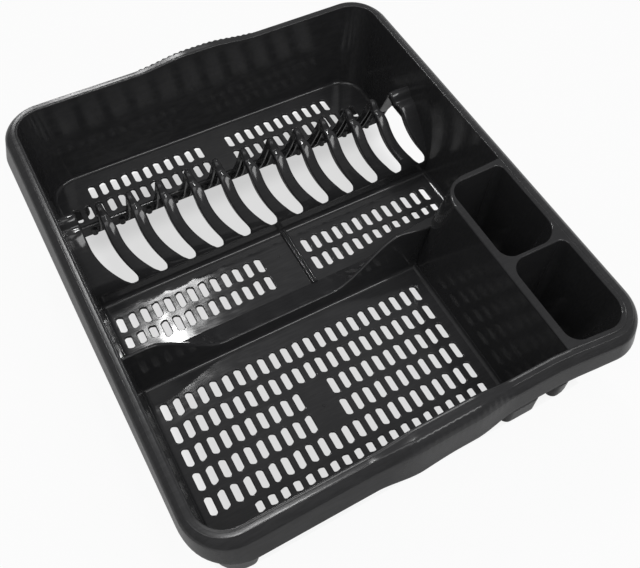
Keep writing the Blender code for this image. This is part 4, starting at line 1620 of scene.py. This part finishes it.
@dataclass
class PlateRack:
    """The plate rack: its upright front and thirteen arms between twelve bowed gaps."""

    finish: Material
    repeat: Tree
    pitch: float = 0.0294
    centre: float = -0.0010
    gap: float = 0.0186
    gap_front: float = 0.0128
    sweep: float = 0.0150
    sweep_run: float = 0.0314
    arm_y: float = 0.0596
    arm_z: float = 0.0566
    riser_top: float = 0.0446
    tip_z: float = 0.0434
    tip_radius: float = 0.0044
    tip_rise: float = 0.0090
    tip_shift: float = 0.0014
    knuckle: Point = (0.0974, 0.0913)
    tooth: Point = (0.1122, 0.0991)
    tooth_radius: float = 0.0044
    roll: float = 0.0018
    thickness: float = 0.0017
    depth: float = 0.0070
    front_depth: float = 0.0030
    crest_depth: float = 0.0080
    tooth_depth: float = 0.0085
    foot_depth: float = 0.0120
    foot_radius: float = 0.0044
    roll_rise: float = 0.0040
    crown: float = 0.0004
    pad: float = 0.0130
    gaps: int = 12

    def edges(self, index: int, station: Station) -> Point:
        """Left and right edge of a gap at a station.

        Args:
            index: the gap, counted from the left.
            station: the station.

        Returns:
            The two places across the tray.
        """
        y = station.y
        remaining = max(1.0 - (y - BASIN.rack_y) / self.sweep_run, 0.0) ** 2
        middle = self.centre + self.pitch * (index - (self.gaps - 1) / 2) + self.sweep * remaining
        half = mix(self.gap, self.gap_front, remaining) / 2
        if station.rise is not None:
            below = max(1.0 - station.rise / self.tip_rise, 0.0)
            grown = min(station.rise / (self.arm_z - self.tip_z), 1.0)
            tip = self.tip_radius * math.sqrt(max(1.0 - below * below, 0.0))
            half = max(tip + (half - self.tip_radius) * grown * (2.0 - grown), 0.0)
            middle += self.tip_shift * (1.0 - grown) ** 2
        return middle - half, middle + half

    def stations(self) -> list[Station]:
        """The outer line from the middle trough's floor to the back trough's lip.

        Returns:
            Stations in order.
        """
        front = BASIN.rack_y
        foot = foot_round(front, BASIN.middle_floor, self.foot_radius, 6)
        stations = [Station(y, z) for y, z in foot]
        stations += [Station(front, z) for z in (0.034, 0.039, 0.042, self.tip_z - 0.0006, self.tip_z)]
        full = self.arm_z - self.tip_z
        for step in range(1, 18):
            share = (step / 18) ** 1.6
            z = self.tip_z + full * share
            lean = max((z - self.riser_top) / (self.arm_z - self.riser_top), 0.0) ** 1.8
            stations.append(Station(mix(front, self.arm_y, lean), z, math.radians(-42.0 * share),
                                    mix(0.0, self.front_depth, share), full * share))
        knots = []
        for step in range(5):
            share = step / 5
            rise = share * (1.0 + 0.13 * (1.0 - share ** 3))
            knots.append([mix(self.arm_y, self.knuckle[0], share), mix(self.arm_z, self.knuckle[1], rise),
                          -48.0 if step else -42.0,
                          mix(self.front_depth, self.depth, min(2 * share, 1.0)), 0.0])
        tooth_y, tooth_z = self.tooth
        radius = self.tooth_radius
        knuckle_y, knuckle_z = self.knuckle
        crest = [(knuckle_y, knuckle_z, -58.0, self.depth, 0.10),
                 (mix(knuckle_y, tooth_y, 0.42), mix(knuckle_z, tooth_z, 0.10), -62.0, self.depth, 0.24),
                 (tooth_y - radius, tooth_z - radius / 2, -70.0, self.crest_depth, 0.36),
                 (tooth_y, tooth_z, -90.0, self.tooth_depth, 0.42),
                 (tooth_y + radius, tooth_z - radius / 2, -115.0, self.tooth_depth, 0.40)]
        for along, down, tilt, narrow in ((0.25, 0.19, -135.0, 0.30), (0.64, 0.66, -145.0, 0.15)):
            crest.append((mix(tooth_y, BASIN.lip_y, along), mix(tooth_z, BASIN.back_floor, down), tilt,
                          self.tooth_depth, narrow))
        crest.append((BASIN.lip_y + 0.0004, BASIN.back_floor - 0.0002, -90.0, self.foot_depth, 0.0))
        for y, z, tilt, depth, narrow in smooth_path(knots + [list(knot) for knot in crest], 6):
            stations.append(Station(y, z, math.radians(tilt), depth, None, max(narrow, 0.0)))
        return stations

    def across(self, station: Station, left: float, right: float, walls: tuple[bool, bool]) -> list[Place]:
        """The arm's outer line across the tray at one station.

        Args:
            station: the station.
            left, right: the arm's edges.
            walls: whether the left and the right edge run into a basin wall.

        Returns:
            Points from the foot of the left flange over the top to the foot of the right flange.
        """
        fall = Vector((0.0, math.cos(station.tilt), math.sin(station.tilt)))
        spot = Vector((0.0, station.y, station.z))
        points: list[Place] = []
        halves = []
        grown = 1.0 if station.rise is None else min(station.rise / self.roll_rise, 1.0)
        for is_wall in walls:
            roll = 0.0 if is_wall else self.roll * grown * (1.0 + 1.2 * station.narrow)
            shallow = 0.3 if any(walls) and station.narrow > 0.0 else 1.0
            depth = 0.0 if is_wall else max(station.depth * shallow, roll)
            half = [(0.0, depth), (0.0, mix(roll, depth, 0.5)), (0.0, roll)]
            half += [(roll - roll * math.cos(a), roll - roll * math.sin(a)) for a in (
                math.radians(22.5 * step) for step in range(1, 5))]
            halves.append(half)
        for inset, down in halves[0]:
            point = spot + fall * down
            points.append((left + inset, point.y, point.z))
        start, end = left + halves[0][-1][0], right - halves[1][-1][0]
        for step in range(1, 6):
            share = step / 6
            point = spot - fall * (self.crown * grown * math.sin(math.pi * share))
            points.append((mix(start, end, share), point.y, point.z))
        for inset, down in reversed(halves[1]):
            point = spot + fall * down
            points.append((right - inset, point.y, point.z))
        return points

    def strip(self, arm: int) -> Mesh:
        """One arm's outer face with its share of the rack's front.

        Args:
            arm: the arm, counted from the left.

        Returns:
            The open sheet.
        """
        rows = []
        for station in self.stations():
            wall = BASIN.width_at(station.z) + OVERRUN
            left = -wall if arm == 0 else self.edges(arm - 1, station)[1]
            right = wall if arm == self.gaps else self.edges(arm, station)[0]
            if 0 < arm < self.gaps:
                width = right - left
                left, right = left + 0.1 * station.narrow * width, right - 0.9 * station.narrow * width
            elif arm == self.gaps:
                left -= self.pad * station.narrow
            rows.append(self.across(station, left, right, (arm == 0, arm == self.gaps)))
        bm = bmesh.new()
        skin(bm, rows, False, False)
        bmesh.ops.remove_doubles(bm, verts=bm.verts, dist=0.000004)
        return bm

    def build(self) -> Piece:
        """Make the rack.

        Returns:
            The finished piece.
        """
        arms = new_piece("rack_arms", self.strip(1), self.finish)
        apply_tree(arms, self.repeat, {"Count": self.gaps - 1, "Pitch": self.pitch, "Finish": self.finish})
        settle(arms)
        bm = bmesh.new()
        bm.from_mesh(arms.data)
        for arm in (0, self.gaps):
            merge_in(bm, self.strip(arm))
        bmesh.ops.remove_doubles(bm, verts=bm.verts, dist=0.00001)
        bpy.data.objects.remove(arms, do_unlink=True)
        rack = new_piece("plate_rack", bm, self.finish)
        thicken(rack, self.thickness)
        settle(rack, 50.0)
        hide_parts("rack_base", *["rack_arm_%02d" % (arm + 1) for arm in range(self.gaps + 1)])
        return rack


# Cutlery block


@dataclass
class CutleryBlock:
    """The block in the front right corner with its two cutlery pockets."""

    finish: Material
    left_draft: float = 0.0120
    back_draft: float = 0.0168
    corner: float = 0.0290
    base_corner: float = 0.0380
    bevel_run: float = 0.0200
    bevel_top_run: float = 0.0010
    left_land: float = 0.0072
    back_land: float = 0.0057
    bridge: float = 0.0068
    bridge_y: float = -0.1246
    taper: float = 0.0060
    pocket_corner: float = 0.0158
    wide_mouth: float = 0.0030
    edge: float = 0.0012
    top: float = 0.13298
    slot_inset: float = 0.0130
    row_pitch: float = 0.0234
    levels: Point = (0.050, 0.090)
    middle: float = 0.078
    wall_gap: float = 0.0027
    floor_round: float = 0.003
    top_round: float = 0.0018
    overrun: float = 0.004
    long_side: float = 0.05
    feet: tuple[Box, ...] = ()

    def outline(self, height: float, inset: float, overrun: float) -> list[Point]:
        """The block's outline at a height.

        Args:
            height: height over the table.
            inset: how far its free faces are drawn in.
            overrun: how far its wall sides run on.

        Returns:
            The outline's points.
        """
        share = BASIN.share(height)
        left = BASIN.block_x + self.left_draft * share + inset
        back = BASIN.middle_y - self.back_draft * share - inset
        right = BASIN.width_at(height) + overrun
        front = -BASIN.length_at(height) - overrun
        slope = mix(self.bevel_run, self.bevel_top_run, share) / (BASIN.half_width - BASIN.bevel_x)
        bevel_y = back + (right - BASIN.bevel_x) * slope
        radius = mix(self.base_corner, self.corner, share) - inset
        turn = arc((left + radius, back - radius), radius, QUARTER, QUARTER, 14)
        return [(left, front - 0.010), (right + 0.006, front - 0.010), (right + 0.006, bevel_y),
                (BASIN.bevel_x, back)] + turn

    def pocket(self, height: float, grow: float, is_front: bool) -> list[Point]:
        """Outline of one pocket's inside.

        Args:
            height: height over the table.
            grow: how far the outline is moved out.
            is_front: whether it is the front pocket.

        Returns:
            The outline's points.
        """
        share = BASIN.share(height)
        taper = self.taper * (1.0 - share) - grow
        left = BASIN.block_x + self.left_draft + self.left_land + taper
        right = BASIN.width_at(height) - self.wall_gap + grow
        radii = [self.pocket_corner * size + grow for size in (0.75, 1.25, 0.42, 0.95)]
        if is_front:
            front = self.wall_gap - BASIN.length_at(height) - grow
            back = self.bridge_y - self.bridge - taper + self.wide_mouth * share
            radii[1] = BASIN.corner_at(height) - self.wall_gap + grow
        else:
            front = self.bridge_y + taper
            back = BASIN.middle_y - self.back_draft - self.back_land - taper
        return [BASIN.swell(x, y, height) for x, y in rounded_box((left, right, front, back), radii, 12)]

    def pocket_tool(self, is_front: bool) -> Piece:
        """Cutter for one pocket, round at the floor and flared at the mouth.

        Args:
            is_front: whether it is the front pocket.

        Returns:
            The cutter.
        """
        r, edge = self.floor_round, self.edge
        rings = [(BASIN.floor + up, -inset) for inset, up in arc((r, r), r, 3 * QUARTER, -QUARTER, 6)]
        rings.append((self.middle, 0.0))
        rings += [(self.top - edge + up, out) for out, up in arc((edge, 0.0), edge, math.pi, -QUARTER, 5)]
        rings.append((self.top + 0.002, edge))
        loops = [level(self.pocket(height, grow, is_front), height) for height, grow in rings]
        return new_piece("tool_pocket", solid(loops), None)

    def slot_places(self, is_front: bool) -> list[SlotPlace]:
        """Drain slots in one pocket's floor.

        Args:
            is_front: whether it is the front pocket.

        Returns:
            The slots' places.
        """
        outline = self.pocket(BASIN.floor, 0.0, is_front)
        left = min(x for x, _ in outline) + self.slot_inset
        front = min(y for _, y in outline) + self.slot_inset
        back = max(y for _, y in outline) - self.slot_inset
        wide = int((BASIN.half_width - self.slot_inset - left) / SLOT.pitch) + 1
        deep = int((back - front) / self.row_pitch) + 1
        columns = tuple(left + SLOT.pitch * n for n in range(wide))
        rows = tuple(front + self.row_pitch * n for n in range(deep))
        return SlotGrid(columns, rows, self.feet).places(outline)

    def build(self, cutter: SlotCutter) -> Piece:
        """Make the block.

        Args:
            cutter: the slot cutter.

        Returns:
            The finished piece.
        """
        foot = BASIN.floor - BASIN.sheet
        rings = [(height, 0.0) for height in (foot, *self.levels)]
        r = self.top_round
        rings += [(self.top - r + up, inset) for inset, up in arc((r, 0.0), r, math.pi, -QUARTER, 6)]
        loops = [level(self.outline(height, inset, self.overrun), height) for height, inset in rings]
        block = new_piece("cutlery_block", solid(loops), self.finish)
        bounds = ((foot - 0.001, 0.0010), (self.top - self.edge, 0.0010), (self.top - 0.0008, 0.0026),
                  (self.top + 0.002, 0.0026))
        loops = []
        for height, grow in bounds:
            outline = self.dense(BASIN.outline(height, grow, 16))
            loops.append(level([BASIN.swell(x, y, height) for x, y in outline], height))
        boolean(block, new_piece("tool_basin", solid(loops), None), "INTERSECT")
        for is_front in (True, False):
            boolean(block, self.pocket_tool(is_front))
        slots = self.slot_places(True) + self.slot_places(False)
        cutter.pierce(block, slots, BASIN.floor, 2 * BASIN.sheet, self.finish)
        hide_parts("pocket_shell", "pocket_back", "pocket_front")
        return block

    def dense(self, outline: Sequence[Point]) -> list[Point]:
        """Cut an outline's long sides into eight.

        Args:
            outline: the outline's points.

        Returns:
            The same outline with more points.
        """
        points: list[Point] = []
        for index, point in enumerate(outline):
            before = outline[index - 1]
            if math.dist(before, point) > self.long_side:
                points += [(mix(before[0], point[0], step / 8), mix(before[1], point[1], step / 8))
                           for step in range(1, 8)]
            points.append(point)
        return points


# Feet


@dataclass
class Feet:
    """Five hollow feet, round at the tray's corners, with a softened sole."""

    finish: Material
    wall: float = 0.0024
    proud: float = 0.0020
    length: float = 0.0330
    width: float = 0.0340
    flare: float = 0.0010
    corner: float = 0.0070
    outer_corner: float = 0.0260
    inner_x: float = 0.0986
    inner_width: float = 0.0370
    overlap: float = 0.0002
    waist: float = 0.010
    sole: float = 0.0012
    chamfer: float = 0.0015

    def boxes(self) -> dict[str, Box]:
        """Footprint of each foot.

        Returns:
            Left, right, front and back of each foot by name.
        """
        base = BASIN.floor - BASIN.sheet
        out_x = BASIN.width_at(base) + BASIN.wall + self.proud
        out_y = BASIN.length_at(base) + BASIN.wall + self.proud
        left, right = (-out_x, self.width - out_x), (out_x - self.width, out_x)
        front, back = (-out_y, self.length - out_y), (out_y - self.length, out_y)
        return {
            "front_left": (*left, *front),
            "front_right": (*right, *front),
            "back_right": (*right, *back),
            "back_left": (*left, *back),
            "front_inner": (self.inner_x, self.inner_x + self.inner_width, *front),
        }

    def foot(self, name: str, box: Box, corner: int) -> Piece:
        """One foot.

        Args:
            name: its place under the tray.
            box: its footprint.
            corner: which of its corners is the tray's.

        Returns:
            The finished piece.
        """
        top, wall, r = BASIN.floor - BASIN.sheet + self.overlap, self.wall, self.sole
        levels = [(top, 0.0), (self.waist, -self.flare * 0.5)]
        levels += [(r + up, -self.flare + r - out) for out, up in arc((0.0, 0.0), r, 0.0, -QUARTER, 4)]
        levels += [(wall, wall + self.chamfer), (wall + self.chamfer, wall), (top, wall)]
        rings = []
        for height, inset in levels:
            radii = [self.corner - inset] * 4
            if corner < 4:
                radii[corner] = self.outer_corner - inset
            left, right, front, back = box
            area = (left + inset, right - inset, front + inset, back - inset)
            rings.append(level(rounded_box(area, radii, 8), height))
        bm = bmesh.new()
        rows = [[bm.verts.new(point) for point in ring] for ring in rings]
        outside, inside = rows[:-3], rows[-3:]
        for row, following in list(zip(outside, outside[1:])) + list(zip(inside, inside[1:] + rows[:1])):
            for index in range(len(row)):
                bm.faces.new((row[index - 1], row[index], following[index], following[index - 1]))
        bm.faces.new(outside[-1])
        bm.faces.new(inside[0])
        bmesh.ops.recalc_face_normals(bm, faces=bm.faces)
        foot = settle(new_piece("foot_sleeve_" + name, bm, self.finish))
        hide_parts("foot_" + name)
        return foot

    def build(self) -> list[Piece]:
        """Make the five feet."""
        return [self.foot(name, box, corner) for corner, (name, box) in enumerate(self.boxes().items())]


# Studio


@dataclass(frozen=True)
class Lamp:
    """One area lamp: where it hangs, where it points, its size and its power in watts."""

    name: str
    spot: Place
    target: Place
    width: float
    height: float
    power: float

    def hang(self) -> None:
        """Hang the lamp in the scene."""
        data = bpy.data.lights.new(self.name, "AREA")
        data.shape = "RECTANGLE"
        data.size = self.width
        data.size_y = self.height
        data.energy = self.power
        lamp = bpy.data.objects.new(self.name, data)
        lamp.location = self.spot
        aim = Vector(self.target) - Vector(self.spot)
        lamp.rotation_euler = aim.to_track_quat("-Z", "Y").to_euler()
        bpy.context.scene.collection.objects.link(lamp)


LAMPS = (
    Lamp("window", (0.083, 1.14, 2.23), (-0.137, -0.02, 0.026), 0.10, 0.20, 5.0),
    Lamp("far_window", (0.162, 1.427, 2.053), (-0.188, 0.030, 0.133), 0.25, 0.25, 7.0),
    Lamp("strip_light", (0.55, -0.95, 1.75), (0.0, 0.0, 0.05), 1.3, 0.45, 10.0),
    Lamp("overhead_softbox", (-0.5, -0.4, 1.9), (0.0, 0.0, 0.05), 0.9, 0.9, 4.0),
    Lamp("left_softbox", (-1.1, -0.5, 1.3), (0.0, 0.0, 0.05), 0.8, 0.8, 2.0),
)


@dataclass
class Studio:
    """Table, sky, lamps and the camera.

    Attributes:
        lens, sensor: the camera's, in millimetres.
        eye, right, up, forward: the camera's place and axes.
        board: tone of the table under the lamps.
        glow: share of the camera's view that shows the table's own white.
        shade, shade_edge: tone of the shade painted on the table under the tray, and how far past its sides
            the painted shade lightens.
        painted_back_shade, painted_back_shade_edge: tone of the deeper shade painted under the back trough,
        and where it sets in.
        open_air: lightness of the painted shade from which the table stays white.
        sky, sky_rise: strength of the sky low and high, and the heights between which it grows.
    """

    lens: float = 42.27
    sensor: float = 36.0
    eye: Place = (-0.1984, -0.3431, 0.6538)
    right: Place = (0.87266, -0.48651, 0.04182)
    up: Place = (0.39541, 0.75429, 0.52411)
    forward: Place = (0.28653, 0.44084, -0.85062)
    board: float = 0.70
    glow: float = 0.94
    # Painted shade: these tones darken the table's own white under the tray and under the back trough.
    shade: float = 0.74
    shade_edge: Point = (-0.030, 0.015)
    painted_back_shade: float = 0.84
    painted_back_shade_edge: Point = (0.128, 0.152)
    open_air: float = 0.97
    sky: Point = (0.16, 0.29)
    sky_rise: Point = (0.25, 1.0)

    def camera(self) -> None:
        """Set the camera to the photograph's viewpoint."""
        data = bpy.data.cameras.new("viewpoint")
        data.lens = self.lens
        data.sensor_width = self.sensor
        data.sensor_fit = "HORIZONTAL"
        data.clip_start = 0.01
        data.clip_end = 50.0
        camera = bpy.data.objects.new("viewpoint", data)
        columns = (Vector(self.right), Vector(self.up), -Vector(self.forward))
        turn = Matrix([[column[row] for column in columns] for row in range(3)]).to_4x4()
        camera.matrix_world = Matrix.Translation(self.eye) @ turn
        bpy.context.scene.collection.objects.link(camera)
        bpy.context.scene.camera = camera

    def table(self) -> None:
        """Lay a plain white table with painted shade under the tray, deeper under the back trough; only its
        small diffuse share takes the tray's real shadow.
        """
        bm = bmesh.new()
        bmesh.ops.create_grid(bm, x_segments=1, y_segments=1, size=4.0)
        material = bpy.data.materials.new("white_table")
        material.use_nodes = True
        sheet = NodeSheet(material.node_tree)
        nodes, links = material.node_tree.nodes, material.node_tree.links
        nodes.remove(nodes["Principled BSDF"])
        board = sheet.add("ShaderNodeBsdfDiffuse", None, {"Color": (*[self.board] * 3, 1.0)})
        spot = sheet.axes("ShaderNodeTexCoord", "Object")
        # Painted shade: the table's emitted white is darkened under the tray's footprint and lightens past
        # its sides.
        reach = [sheet.maths("SUBTRACT", sheet.maths("ABSOLUTE", spot[axis]), half)
                 for axis, half in (("X", BASIN.half_width), ("Y", BASIN.half_length))]
        open_air = sheet.spread(sheet.maths("MAXIMUM", *reach), self.shade_edge, (self.shade, 1.0))
        # Painted shade: deeper again under the back trough.
        painted_back_shade = sheet.spread(spot["Y"], self.painted_back_shade_edge, (1.0, self.painted_back_shade))
        shade = sheet.maths("MAXIMUM", sheet.maths("MULTIPLY", open_air, painted_back_shade),
                            sheet.maths("GREATER_THAN", open_air, self.open_air))
        # The emission carries the painted shade as its strength.
        glow = sheet.add("ShaderNodeEmission", None, {"Color": (1.0, 1.0, 1.0, 1.0), "Strength": shade})
        path = sheet.add("ShaderNodeLightPath")
        seen = sheet.maths("MULTIPLY", path.outputs["Is Camera Ray"], self.glow)
        blend = sheet.add("ShaderNodeMixShader", None, {0: seen, 1: board.outputs[0], 2: glow.outputs[0]})
        links.new(blend.outputs[0], nodes["Material Output"].inputs["Surface"])
        new_piece("table", bm, material)

    def daylight(self) -> None:
        """Light the tray with an even sky and the lamps, two of them windows for the bright edges."""
        world = bpy.data.worlds.new("daylight")
        bpy.context.scene.world = world
        world.use_nodes = True
        sheet = NodeSheet(world.node_tree)
        background = world.node_tree.nodes["Background"]
        path = sheet.add("ShaderNodeLightPath")
        height = sheet.axes("ShaderNodeTexCoord", "Generated")["Z"]
        sky = sheet.spread(height, self.sky_rise, self.sky, "LINEAR")
        background.inputs["Color"].default_value = (1.0, 1.0, 1.0, 1.0)
        strength = sheet.maths("MAXIMUM", sky, path.outputs["Is Camera Ray"])
        world.node_tree.links.new(strength, background.inputs["Strength"])
        for lamp in LAMPS:
            lamp.hang()

    def build(self) -> None:
        """Set up the whole studio."""
        self.camera()
        self.table()
        self.daylight()
        bpy.context.scene.view_settings.view_transform = "Standard"


def main() -> None:
    """Build the dish drainer's looks, piece by piece."""
    logging.basicConfig(level=logging.INFO, format="%(message)s")
    Studio().build()
    groups = SurfaceGroups()
    glossy, floors, satin = (finish.build(groups) for finish in (GLOSSY, FLOORS, SATIN))
    cutter = SlotCutter()
    feet = Feet(satin)
    footprints = tuple(feet.boxes().values())
    repeat = repeat_tree()
    pieces = [BasinShell(satin).build()]
    pieces += Floors(floors, footprints, repeat).build(cutter)
    pieces.append(WavyDivider(glossy).build())
    pieces.append(PlateRack(glossy, repeat).build())
    pieces.append(CutleryBlock(glossy, feet=footprints).build(cutter))
    pieces += feet.build()
    for piece in pieces:
        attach(piece, "root")
        LOG.info("%s: %d faces", piece.name, len(piece.data.polygons))


if __name__ == "__main__":
    main()
